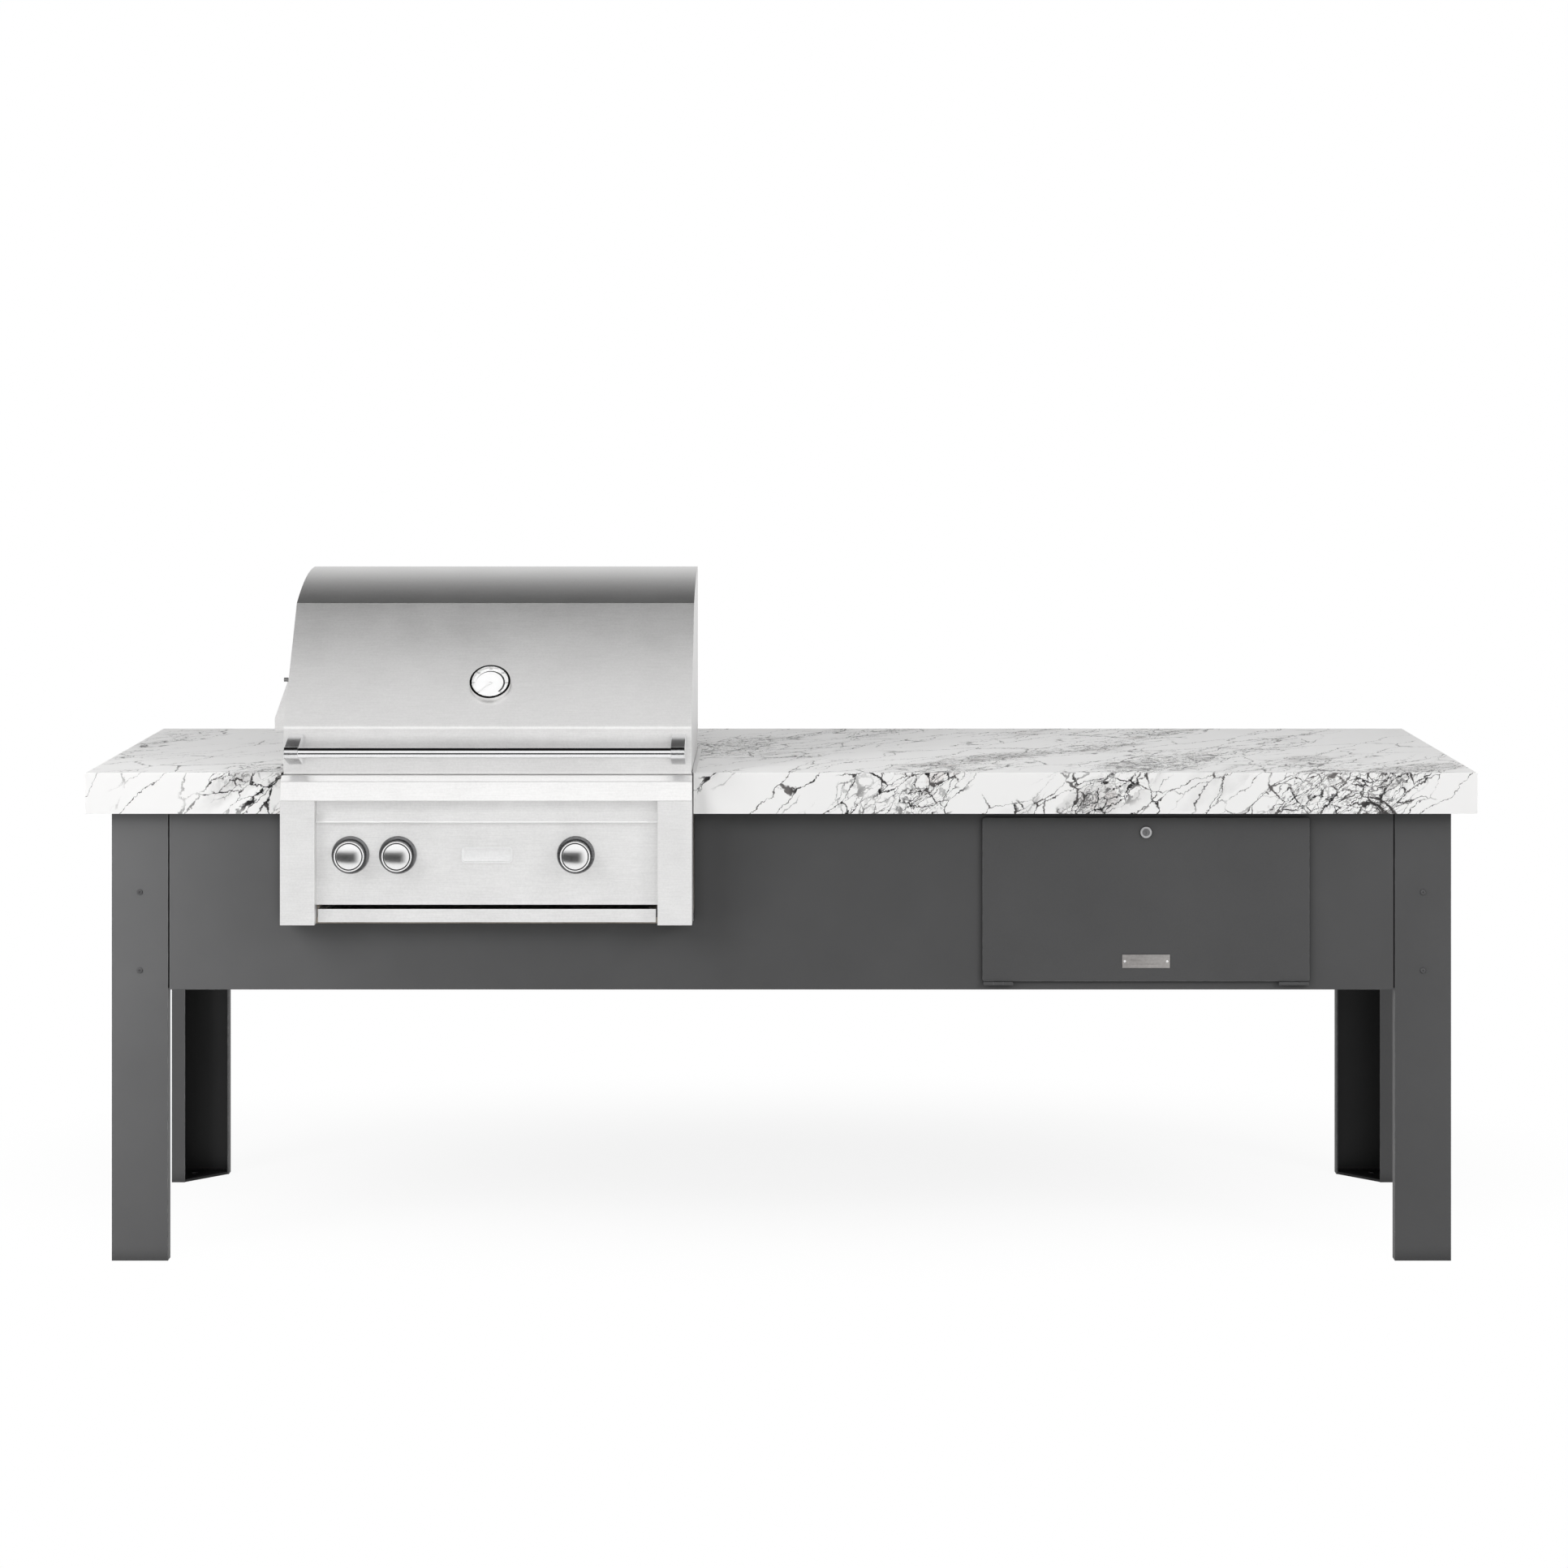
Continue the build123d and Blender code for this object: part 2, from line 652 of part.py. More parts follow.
# Front ledge: a folded cap whose top slopes up to the hood
with BuildPart() as front_ledge:
    with BuildSketch(Plane.YZ.offset(grill_center - half_grill)):
        with BuildLine():
            Polyline((face_y, ledge_bottom), (face_y, ledge_nose), (hood_front - hood_gap, ledge_top),
                     (firebox_front, ledge_top), (firebox_front, ledge_bottom), close=True)
        make_face()
    extrude(amount=grill_width)
    face_edges = front_ledge.edges().filter_by(Axis.X).group_by(Axis.Y)[0]
    fillet(face_edges.sort_by(Axis.Z)[-1], ledge_nose_radius)
    with BuildSketch(Plane.YZ.offset(grill_center - half_grill + face_sheet)):
        with BuildLine():
            Polyline((face_y + face_sheet, ledge_bottom + face_sheet),
                     (face_y + face_sheet, ledge_nose - ledge_nose_radius),
                     (hood_front - hood_gap, ledge_top - face_sheet),
                     (firebox_front, ledge_top - face_sheet),
                     (firebox_front, ledge_bottom + face_sheet), close=True)
        make_face()
    extrude(amount=grill_width - 2 * face_sheet, mode=Mode.SUBTRACT)
front_ledge.part.label = "front_ledge"
export_step(front_ledge.part, "parts/front_ledge.step")

# Control panel: a flanged sheet with a folded drip trim above the knobs
trim_top = ledge_bottom - trim_below_ledge
with BuildPart() as control_panel:
    panel_x = (grill_center - half_panel, grill_center + half_panel)
    block(panel_x, (panel_y, panel_back), (panel_bottom, ledge_bottom))
    block(panel_x, (panel_y, panel_y + panel_flange), (panel_bottom, panel_bottom + panel_sheet))
    with BuildSketch(Plane.YZ.offset(panel_x[0])):
        with BuildLine():
            Polyline((panel_y, trim_top), (panel_y - trim_proud, trim_top - trim_height + trim_hem),
                     (panel_y - trim_proud, trim_top - trim_height),
                     (panel_y, trim_top - trim_height), close=True)
        make_face()
    extrude(amount=2 * half_panel)
    for offset_x in knob_offsets:
        place = grill_center + offset_x
        rod((place, panel_y, knob_z), (place, panel_back, knob_z), stem_hole_diameter, Mode.SUBTRACT)
control_panel.part.label = "control_panel"
export_step(control_panel.part, "parts/control_panel.step")

# Badge plate, bare
with BuildPart() as badge_plate:
    with BuildSketch(Plane.XZ.offset(-panel_y)):
        with Locations((grill_center, knob_z)):
            RectangleRounded(badge_width, badge_height, badge_corner)
    extrude(amount=badge_thickness)
badge_plate.part.label = "badge_plate"
export_step(badge_plate.part, "parts/badge_plate.step")

# Knob bezels: dark rings flat on the panel
bezel_front = panel_y - knob_bezel_thickness
with BuildPart() as knob_bezels:
    with BuildSketch(Plane.XZ.offset(-panel_y)):
        with Locations(*[(grill_center + offset_x, knob_z) for offset_x in knob_offsets]):
            Circle(knob_bezel_diameter / 2)
            Circle(stem_hole_diameter / 2, mode=Mode.SUBTRACT)
    extrude(amount=knob_bezel_thickness)
    rims = knob_bezels.edges().filter_by(GeomType.CIRCLE).group_by(Axis.Y)[0].group_by(SortBy.RADIUS)[-1]
    chamfer(rims, knob_bezel_chamfer)
knob_bezels.part.label = "knob_bezels"
export_step(knob_bezels.part, "parts/knob_bezels.step")

# Gas valves: bodies behind the panel, saddled on the manifold, with a nozzle at the back
with BuildPart() as gas_valves:
    for offset_x in knob_offsets:
        place = grill_center + offset_x
        half_valve = valve_size / 2
        block((place - half_valve, place + half_valve), (panel_back, valve_back),
              (knob_z - half_valve, knob_z + half_valve))
        block((place - half_valve, place + half_valve),
              (manifold_y - half_valve, valve_back), (manifold_z, knob_z))
        rod((place, valve_back, knob_z), (place, nozzle_tip, knob_z), nozzle_diameter)
        rod((place, panel_back, knob_z), (place, panel_back + stem_in_valve + stem_end_gap, knob_z),
            stem_diameter + 2 * running_clearance, Mode.SUBTRACT)
    rod((grill_center - half_grill, manifold_y, manifold_z),
        (grill_center + half_grill, manifold_y, manifold_z),
        manifold_diameter + 2 * running_clearance, Mode.SUBTRACT)
gas_valves.part.label = "gas_valves"
export_step(gas_valves.part, "parts/gas_valves.step")

# Gas manifold: a pipe along the valves, turned down and back under the firebox to a threaded inlet
manifold_start = grill_center + knob_offsets[0] - manifold_overrun
inlet_y = firebox_front + inlet_behind_firebox_front
inlet_end = face_bottom - inlet_drop
gas_route = (
    (manifold_start, manifold_y, manifold_z),
    (inlet_x, manifold_y, manifold_z),
    (inlet_x, manifold_y, inlet_turn_z),
    (inlet_x, inlet_y, inlet_turn_z),
    (inlet_x, inlet_y, inlet_end),
)
with BuildPart() as gas_manifold:
    for start, end in zip(gas_route, gas_route[1:]):
        rod(start, end, manifold_diameter)
    for bend in gas_route[1:-1]:
        with Locations(bend):
            Sphere(manifold_diameter / 2)
    inlet_start = (inlet_x, inlet_y, inlet_end + inlet_length)
    rod(inlet_start, gas_route[-1], inlet_diameter)
    rod(inlet_start, gas_route[-1], inlet_bore, Mode.SUBTRACT)
gas_manifold.part.label = "gas_manifold"
export_step(gas_manifold.part, "parts/gas_manifold.step")

# Main burners: capped tubes that take gas from the nozzles through a narrower throat
throat_start = nozzle_tip - nozzle_in_throat
throat_end = chamber_front + burner_diameter
burner_end = chamber_back - burner_back_gap
with BuildPart() as main_burners:
    for offset_x in burner_offsets:
        place = grill_center + offset_x
        rod((place, throat_start, knob_z), (place, throat_end, knob_z), venturi_diameter)
        rod((place, throat_end, knob_z), (place, burner_end, knob_z), burner_diameter)
        rod((place, throat_end + burner_wall, knob_z), (place, burner_end - burner_wall, knob_z),
            burner_diameter - 2 * burner_wall, Mode.SUBTRACT)
        rod((place, throat_start, knob_z), (place, throat_end + burner_wall, knob_z),
            venturi_diameter - 2 * burner_wall, Mode.SUBTRACT)
main_burners.part.label = "main_burners"
export_step(main_burners.part, "parts/main_burners.step")

# Rear burner: a box on the back wall, with its brazed feed tube from the outer left valve
feed_y = firebox_back + feed_behind_wall
with BuildPart() as rear_burner:
    block((grill_center - rear_burner_width / 2, grill_center + rear_burner_width / 2),
          (chamber_back - rear_burner_depth, chamber_back),
          (rear_burner_z - rear_burner_height / 2, rear_burner_z + rear_burner_height / 2))
    route = ((rear_feed_x, nozzle_tip, knob_z), (rear_feed_x, feed_y, knob_z),
             (rear_feed_x, feed_y, rear_burner_z), (rear_feed_x, chamber_back, rear_burner_z))
    for start, end in zip(route, route[1:]):
        rod(start, end, feed_diameter)
    for bend in route[1:3]:
        with Locations(bend):
            Sphere(feed_diameter / 2)
rear_burner.part.label = "rear_burner"
export_step(rear_burner.part, "parts/rear_burner.step")

# Flame tamers: roof-shaped sheets over the burners
half_tamer = (burner_offsets[1] - burner_offsets[0] - tamer_split) / 2
with BuildPart() as flame_tamers:
    with BuildSketch(Plane.XZ.offset(-chamber_front)):
        for offset_x in burner_offsets:
            place = grill_center + offset_x
            with BuildLine():
                Polyline((place - half_tamer, tamer_ledge), (place, tamer_ledge + tamer_rise),
                         (place + half_tamer, tamer_ledge), (place + half_tamer, tamer_ledge + tamer_sheet),
                         (place, tamer_ledge + tamer_rise + tamer_sheet),
                         (place - half_tamer, tamer_ledge + tamer_sheet), close=True)
            make_face()
    extrude(amount=chamber_front - chamber_back)
flame_tamers.part.label = "flame_tamers"
export_step(flame_tamers.part, "parts/flame_tamers.step")

# Cooking grates: two halves, round bars welded on flat cross bars
grate_half = half_chamber - grate_edge_gap
bar_y = (chamber_front + grate_edge_gap, chamber_back - grate_edge_gap)
rod_level = grate_ledge + grate_bar + grate_rod_diameter / 2 - grate_rod_sunk
with BuildPart() as cooking_grates:
    for start, end in ((-grate_half, -grate_split / 2), (grate_split / 2, grate_half)):
        first = grill_center + start + grate_rod_diameter / 2
        pitch = (end - start - grate_rod_diameter) / (grate_rod_count - 1)
        middle = (bar_y[0] + bar_y[1]) / 2
        for bar in (bar_y[0], middle - grate_bar / 2, bar_y[1] - grate_bar):
            block((grill_center + start, grill_center + end), (bar, bar + grate_bar),
                  (grate_ledge, grate_ledge + grate_bar))
        for count in range(grate_rod_count):
            place = first + count * pitch
            rod((place, bar_y[0], rod_level), (place, bar_y[1], rod_level), grate_rod_diameter)
cooking_grates.part.label = "cooking_grates"
export_step(cooking_grates.part, "parts/cooking_grates.step")

# Warming rack: long rods on three arms hooked to the back wall
rack_z = back_wall_top - rack_below_wall_top
rack_start = chamber_back - rack_depth
rack_pitch = (rack_depth - rear_burner_depth) / (rack_rod_count - 1)
with BuildPart() as warming_rack:
    for arm in (-rack_width / 2 + rack_rod_diameter, 0, rack_width / 2 - rack_rod_diameter):
        block((grill_center + arm - rack_rod_diameter / 2, grill_center + arm + rack_rod_diameter / 2),
              (rack_start, chamber_back), (rack_z - rack_rod_diameter, rack_z))
    for count in range(rack_rod_count):
        place = rack_start + rack_rod_diameter / 2 + count * rack_pitch
        rod((grill_center - rack_width / 2, place, rack_z), (grill_center + rack_width / 2, place, rack_z),
            rack_rod_diameter)
warming_rack.part.label = "warming_rack"
export_step(warming_rack.part, "parts/warming_rack.step")

# Tray runners and the rail behind the tray's front
with BuildPart() as tray_runners:
    for side in (-1, 1):
        block((grill_center + side * (half_tub + tray_side_gap), grill_center + side * half_chamber),
              (chamber_front, chamber_back), (runner_top - tray_sheet, runner_top))
    block((grill_center - half_panel, grill_center + half_panel),
          (panel_y + bottom_rail_setback, panel_y + bottom_rail_setback + tray_sheet),
          (face_bottom, tub_bottom - bottom_rail_gap))
tray_runners.part.label = "tray_runners"
export_step(tray_runners.part, "parts/tray_runners.step")

# Drip tray: a shallow tub on side flanges, behind a plain front
with BuildPart() as drip_tray:
    tub_y = (tray_y, tray_end)
    block((grill_center - half_tray_front, grill_center + half_tray_front), (tray_y, tray_y + tray_sheet),
          (tray_bottom, tray_top))
    block((grill_center - half_tray_front, grill_center + half_tray_front), tub_y,
          (tray_flange_top - tray_sheet, tray_flange_top))
    block((grill_center - half_tub, grill_center + half_tub), tub_y, (tub_bottom, tray_flange_top))
    block((grill_center - half_tub + tray_sheet, grill_center + half_tub - tray_sheet),
          (tub_y[0] + tray_sheet, tub_y[1] - tray_sheet),
          (tub_bottom + tray_sheet, tray_flange_top), Mode.SUBTRACT)
drip_tray.part.label = "drip_tray"
export_step(drip_tray.part, "parts/drip_tray.step")

# Valve stems: round in the valve, with a flat where the knob sits
knob_rear = bezel_front - knob_push_room
stem_tip = knob_rear - stem_in_knob
for name, offset_x in zip(knob_names, knob_offsets):
    with BuildPart() as valve_stem:
        place = grill_center + offset_x
        rod((place, stem_tip, knob_z), (place, panel_back + stem_in_valve, knob_z), stem_diameter)
        block((place - stem_diameter, place + stem_diameter), (stem_tip, bezel_front),
              (knob_z + stem_diameter / 2 - stem_flat, knob_z + stem_diameter), Mode.SUBTRACT)
    valve_stem.part.label = f"valve_stem_{name}"
    export_step(valve_stem.part, f"parts/valve_stem_{name}.step")

# Knobs: turned from bar with a rim, a groove and a domed face, keyed on the stem's flat
knob_radius = knob_diameter / 2
groove_radius = knob_radius - knob_rim
dome_radius = groove_radius - knob_groove_width
dome_foot = knob_length - knob_groove_depth
dome_top = dome_foot + knob_dome_rise
for name, offset_x in zip(knob_names, knob_offsets):
    with BuildPart() as knob:
        place = grill_center + offset_x
        section = Plane(origin=(place, knob_rear, knob_z), x_dir=(1, 0, 0), z_dir=(0, 0, -1))
        with BuildSketch(section) as knob_section:
            with BuildLine():
                Polyline((0, dome_top), (0, 0), (knob_radius, 0), (knob_radius, knob_length),
                         (groove_radius, knob_length), (groove_radius, dome_foot), (dome_radius, dome_foot))
                TangentArc((0, dome_top), (dome_radius, dome_foot), tangent=(1, 0))
            make_face()
            fillet(knob_section.vertices().group_by(Axis.X)[-1].sort_by(Axis.Y)[-1], knob_edge)
        revolve(axis=Axis((place, knob_rear, knob_z), (0, -1, 0)))
        with BuildSketch(Plane.XZ.offset(-knob_rear)):
            with Locations((place, knob_z)):
                Circle(stem_diameter / 2 + running_clearance)
            with Locations((place, knob_z + stem_diameter - stem_flat + running_clearance)):
                Rectangle(2 * stem_diameter, stem_diameter, mode=Mode.SUBTRACT)
        extrude(amount=stem_in_knob + knob_push + stem_end_gap, mode=Mode.SUBTRACT)
    knob.part.label = f"knob_{name}"
    export_step(knob.part, f"parts/knob_{name}.step")


def hood_outline(bend_radius):
    """The hood's side outline, run straight down below its lower edge."""
    low = hood_bottom - hood_front_height
    FilletPolyline((hood_front, low), (hood_front, hood_bend), (crease_y, crease_z), radius=bend_radius)
    TangentArc((hood_back, crown_z), (crease_y, crease_z), tangent=(-1, 0))
    Polyline((hood_back, crown_z), (hood_back, low), (hood_front, low))


# Hood shell: one sheet folded at the bend and the crease and rolled over the top
slant_length = (hood_slant_run**2 + hood_slant_rise**2) ** 0.5
gauge_place = (
    grill_center,
    hood_front + hood_slant_run * gauge_along_slant / slant_length,
    hood_bend + hood_slant_rise * gauge_along_slant / slant_length,
)
gauge_plane = Plane(origin=gauge_place, x_dir=(1, 0, 0), z_dir=(0, -hood_slant_rise, hood_slant_run))
hood_x = (grill_center - half_hood, grill_center + half_hood)
hood_y = (hood_front, hood_back)
below_hood = (hood_bottom - 2 * hood_front_height, hood_bottom)
with BuildPart() as hood_shell:
    with BuildSketch(Plane.YZ.offset(hood_x[0])):
        with BuildLine():
            hood_outline(hood_bend_radius)
        make_face()
        offset(amount=-hood_sheet, kind=Kind.INTERSECTION, mode=Mode.SUBTRACT)
    extrude(amount=2 * half_hood)
    block(hood_x, hood_y, below_hood, Mode.SUBTRACT)
    block(hood_x, (pivot_y, hood_y[1]), (below_hood[0], crown_z - hood_back_drop), Mode.SUBTRACT)
    with Locations(gauge_plane):
        Cylinder(gauge_stem_diameter / 2 + running_clearance, gauge_stem_length, mode=Mode.SUBTRACT)
hood_shell.part.label = "hood_shell"
export_step(hood_shell.part, "parts/hood_shell.step")

# Hood ends: flat plates inside the shell, cut away behind so that they clear the counter
with BuildPart() as hood_ends:
    for side in (-1, 1):
        start = grill_center + side * half_hood
        with BuildSketch(Plane.YZ.offset(start)):
            with BuildLine():
                hood_outline(hood_bend_radius)
            make_face()
            offset(amount=-hood_sheet - hood_end_fit, kind=Kind.INTERSECTION, mode=Mode.REPLACE)
            with Locations((pivot_y, hood_bottom - hood_front_height)):
                Rectangle(2 * hood_depth, 2 * hood_front_height, mode=Mode.SUBTRACT)
            with BuildLine():
                Polyline((pivot_y - hinge_ear_radius, hood_bottom), (hood_back, pivot_z),
                         (hood_back, hood_bottom), close=True)
            make_face(mode=Mode.SUBTRACT)
            with Locations((pivot_y, pivot_z)):
                Circle(hinge_pin_diameter / 2 + running_clearance, mode=Mode.SUBTRACT)
        extrude(amount=-side * hood_sheet)
hood_ends.part.label = "hood_ends"
export_step(hood_ends.part, "parts/hood_ends.step")

# Hood liner: an inner sheet welded between the ends
with BuildPart() as hood_liner:
    with BuildSketch(Plane.YZ.offset(hood_x[0] + hood_sheet)):
        with BuildLine():
            hood_outline(hood_bend_radius + hood_sheet + liner_gap)
        make_face()
        offset(amount=-hood_sheet - liner_gap, kind=Kind.INTERSECTION, mode=Mode.REPLACE)
        offset(amount=-liner_sheet, kind=Kind.INTERSECTION, mode=Mode.SUBTRACT)
    extrude(amount=2 * half_hood - 2 * hood_sheet)
    block(hood_x, hood_y, (below_hood[0], hood_bottom + liner_above_bottom), Mode.SUBTRACT)
    block(hood_x, (pivot_y, hood_y[1]), (below_hood[0], crown_z), Mode.SUBTRACT)
    with Locations(gauge_plane):
        Cylinder(gauge_stem_diameter / 2 + running_clearance, gauge_stem_length, mode=Mode.SUBTRACT)
hood_liner.part.label = "hood_liner"
export_step(hood_liner.part, "parts/hood_liner.step")

# Hood hinge pins: headed pins through the firebox ears and the hood ends
with BuildPart() as hood_hinge_pins:
    for side in (-1, 1):
        inner = grill_center + side * half_chamber
        outer = grill_center + side * half_hood
        rod((inner, pivot_y, pivot_z), (outer, pivot_y, pivot_z), hinge_pin_diameter)
        rod((inner, pivot_y, pivot_z), (inner - side * hinge_head, pivot_y, pivot_z), hinge_head_diameter)
hood_hinge_pins.part.label = "hood_hinge_pins"
export_step(hood_hinge_pins.part, "parts/hood_hinge_pins.step")

# Handle bar
handle_y = hood_front - handle_standoff
handle_z = hood_bottom + handle_above_hood_bottom
with BuildPart() as handle_bar:
    rod((grill_center - handle_length / 2, handle_y, handle_z),
        (grill_center + handle_length / 2, handle_y, handle_z), handle_diameter)
handle_bar.part.label = "handle_bar"
export_step(handle_bar.part, "parts/handle_bar.step")

# Handle posts: tapered castings with a sleeve round each end of the bar
with BuildPart() as handle_posts:
    for side in (-1, 1):
        outer = grill_center + side * handle_length / 2
        with BuildSketch(Plane.YZ.offset(outer)):
            with BuildLine():
                Polyline((hood_front, handle_z - handle_post_foot / 2),
                         (hood_front, handle_z + handle_post_foot / 2),
                         (handle_y, handle_z + handle_post_neck / 2),
                         (handle_y, handle_z - handle_post_neck / 2), close=True)
            make_face()
            with Locations((handle_y, handle_z)):
                Circle(handle_sleeve_diameter / 2)
                Circle(handle_diameter / 2 + running_clearance, mode=Mode.SUBTRACT)
        extrude(amount=-side * handle_post_width)
handle_posts.part.label = "handle_posts"
export_step(handle_posts.part, "parts/handle_posts.step")

# Thermometer case: a cup with its dial floor, a needle pin and a probe through the hood
gauge_recess = gauge_diameter / 2 - gauge_rim
dial_level = gauge_height - gauge_dial_depth
with BuildPart() as gauge_case:
    with BuildSketch(gauge_plane):
        Circle(gauge_diameter / 2)
    extrude(amount=gauge_height)
    with BuildSketch(gauge_plane.offset(gauge_height)):
        Circle(gauge_recess)
        Circle(needle_pin_diameter / 2, mode=Mode.SUBTRACT)
    extrude(amount=-gauge_dial_depth, mode=Mode.SUBTRACT)
    with BuildSketch(gauge_plane.offset(gauge_height)):
        Circle(gauge_recess)
    extrude(amount=-gauge_lens_thickness - needle_pin_gap, mode=Mode.SUBTRACT)
    with BuildSketch(gauge_plane):
        Circle(gauge_stem_diameter / 2)
    extrude(amount=-gauge_stem_length)
gauge_case.part.label = "gauge_case"
export_step(gauge_case.part, "parts/gauge_case.step")

# Thermometer needle
with BuildPart() as gauge_needle:
    with BuildSketch(gauge_plane.offset(dial_level + running_clearance)):
        Circle(needle_hub_diameter / 2)
        with Locations(Location((0, 0, 0), (0, 0, needle_rest))):
            with Locations((needle_length / 2, 0)):
                Rectangle(needle_length, needle_width)
        Circle(needle_pin_diameter / 2 + running_clearance, mode=Mode.SUBTRACT)
    extrude(amount=needle_thickness)
gauge_needle.part.label = "gauge_needle"
export_step(gauge_needle.part, "parts/gauge_needle.step")

# Thermometer lens
with BuildPart() as gauge_lens:
    with BuildSketch(gauge_plane.offset(gauge_height)):
        Circle(gauge_recess - running_clearance)
    extrude(amount=-gauge_lens_thickness)
gauge_lens.part.label = "gauge_lens"
export_step(gauge_lens.part, "parts/gauge_lens.step")

# Rotisserie bracket: an upright on the firebox side with two gussets that carry the motor
spit_x = grill_center - half_firebox
spit_skin = spit_x - spit_bracket_sheet
spit_y = face_y + spit_bracket_setback
with BuildPart() as rotisserie_bracket:
    block((spit_skin, spit_x), (spit_y, spit_y + spit_bracket_depth),
          (ledge_top - spit_bracket_foot, hood_bottom + spit_bracket_top))
    for gusset in (spit_y + spit_bracket_sheet, spit_y + spit_bracket_depth):
        with BuildSketch(Plane.XZ.offset(-gusset)):
            with BuildLine():
                Polyline((spit_skin, hood_bottom + spit_bracket_low),
                         (spit_skin - spit_bracket_reach, hood_bottom + spit_bracket_low),
                         (spit_skin - spit_bracket_reach, hood_bottom + spit_bracket_mid),
                         (spit_skin - spit_bracket_top_reach, hood_bottom + spit_bracket_top),
                         (spit_skin, hood_bottom + spit_bracket_top), close=True)
            make_face()
        extrude(amount=spit_bracket_sheet)
    pin_x = spit_skin - spit_bracket_top_reach + spit_pin_diameter
    pin_y = spit_y + spit_bracket_sheet / 2
    pin_z = hood_bottom + spit_bracket_top
    rod((pin_x, pin_y, pin_z - spit_pin_height), (pin_x, pin_y, pin_z + spit_pin_height), spit_pin_diameter)
rotisserie_bracket.part.label = "rotisserie_bracket"
export_step(rotisserie_bracket.part, "parts/rotisserie_bracket.step")

# Access door: a pan with shallow returns and a hole for the lock
door_x = (door_center - door_width / 2, door_center + door_width / 2)
return_bottom = door_bottom + leaf_height + door_corner
return_y = (door_inner, apron_front - door_seat_gap)
with BuildPart() as access_door:
    with BuildSketch(Plane.XZ.offset(-door_inner)):
        with Locations((door_center, (door_top + door_bottom) / 2)):
            RectangleRounded(door_width, door_top - door_bottom, door_corner)
    extrude(amount=door_sheet)
    for start, inner in ((door_x[0], door_x[0] + door_sheet), (door_x[1] - door_sheet, door_x[1])):
        block((start, inner), return_y, (return_bottom, door_top - door_corner))
    block((door_x[0] + door_corner, door_x[1] - door_corner), return_y, (door_top - door_sheet, door_top))
    rod((door_center, door_face, lock_z), (door_center, door_inner, lock_z),
        lock_barrel_diameter + 2 * running_clearance, Mode.SUBTRACT)
access_door.part.label = "access_door"
export_step(access_door.part, "parts/access_door.step")

# Door hinges: two butt hinges with a fixed middle knuckle and two moving outer ones
barrel_starts = (door_x[0] + barrel_end_inset, door_x[1] - barrel_end_inset - barrel_length)
knuckle = barrel_length / 3
leaf_low = axis_z + barrel_diameter / 2 + barrel_gap
pin_bore = hinge_pin_small + 2 * running_clearance
with BuildPart() as hinge_leaves_fixed:
    for start in barrel_starts:
        middle = (start + knuckle + barrel_gap, start + 2 * knuckle - barrel_gap)
        leaf_y = (apron_front - leaf_sheet, apron_front)
        block((start, start + barrel_length), leaf_y, (leaf_low, leaf_low + leaf_height))
        block(middle, leaf_y, (axis_z - leaf_sheet / 2, leaf_low))
        block(middle, (axis_y, apron_front), (axis_z - leaf_sheet / 2, axis_z + leaf_sheet / 2))
        rod((middle[0], axis_y, axis_z), (middle[1], axis_y, axis_z), barrel_diameter)
        rod((middle[0], axis_y, axis_z), (middle[1], axis_y, axis_z), pin_bore, Mode.SUBTRACT)
hinge_leaves_fixed.part.label = "hinge_leaves_fixed"
export_step(hinge_leaves_fixed.part, "parts/hinge_leaves_fixed.step")

with BuildPart() as hinge_leaves_moving:
    for start in barrel_starts:
        leaf_y = (door_inner, door_inner + leaf_sheet)
        block((start, start + barrel_length), leaf_y, (leaf_low, leaf_low + leaf_height))
        for outer in ((start, start + knuckle), (start + 2 * knuckle, start + barrel_length)):
            block(outer, leaf_y, (axis_z, leaf_low))
            block(outer, (axis_y, leaf_y[1]), (axis_z, axis_z + leaf_sheet))
            rod((outer[0], axis_y, axis_z), (outer[1], axis_y, axis_z), barrel_diameter)
            rod((outer[0], axis_y, axis_z), (outer[1], axis_y, axis_z), pin_bore, Mode.SUBTRACT)
hinge_leaves_moving.part.label = "hinge_leaves_moving"
export_step(hinge_leaves_moving.part, "parts/hinge_leaves_moving.step")

with BuildPart() as door_hinge_pins:
    for start in barrel_starts:
        rod((start, axis_y, axis_z), (start + barrel_length, axis_y, axis_z), hinge_pin_small)
door_hinge_pins.part.label = "door_hinge_pins"
export_step(door_hinge_pins.part, "parts/door_hinge_pins.step")

# Cam lock: a flanged barrel in the door, and a slotted plug that carries the cam
lock_front = door_face - lock_flange_height
plug_bore = lock_plug_diameter + 2 * running_clearance
with BuildPart() as lock_barrel:
    rod((door_center, lock_front, lock_z), (door_center, door_face, lock_z), lock_flange_diameter)
    rod((door_center, door_face, lock_z), (door_center, apron_back, lock_z), lock_barrel_diameter)
    rod((door_center, lock_front, lock_z), (door_center, apron_back, lock_z), plug_bore, Mode.SUBTRACT)
lock_barrel.part.label = "lock_barrel"
export_step(lock_barrel.part, "parts/lock_barrel.step")

with BuildPart() as lock_plug:
    rod((door_center, lock_front, lock_z), (door_center, cam_front, lock_z), lock_plug_diameter)
    block((door_center - cam_width / 2, door_center + cam_length), (cam_front, cam_front + cam_sheet),
          (lock_z - cam_width / 2, lock_z + cam_width / 2))
    block((door_center - lock_slot_width / 2, door_center + lock_slot_width / 2),
          (lock_front, lock_front + lock_slot_depth),
          (lock_z - lock_slot_length / 2, lock_z + lock_slot_length / 2), Mode.SUBTRACT)
lock_plug.part.label = "lock_plug"
export_step(lock_plug.part, "parts/lock_plug.step")

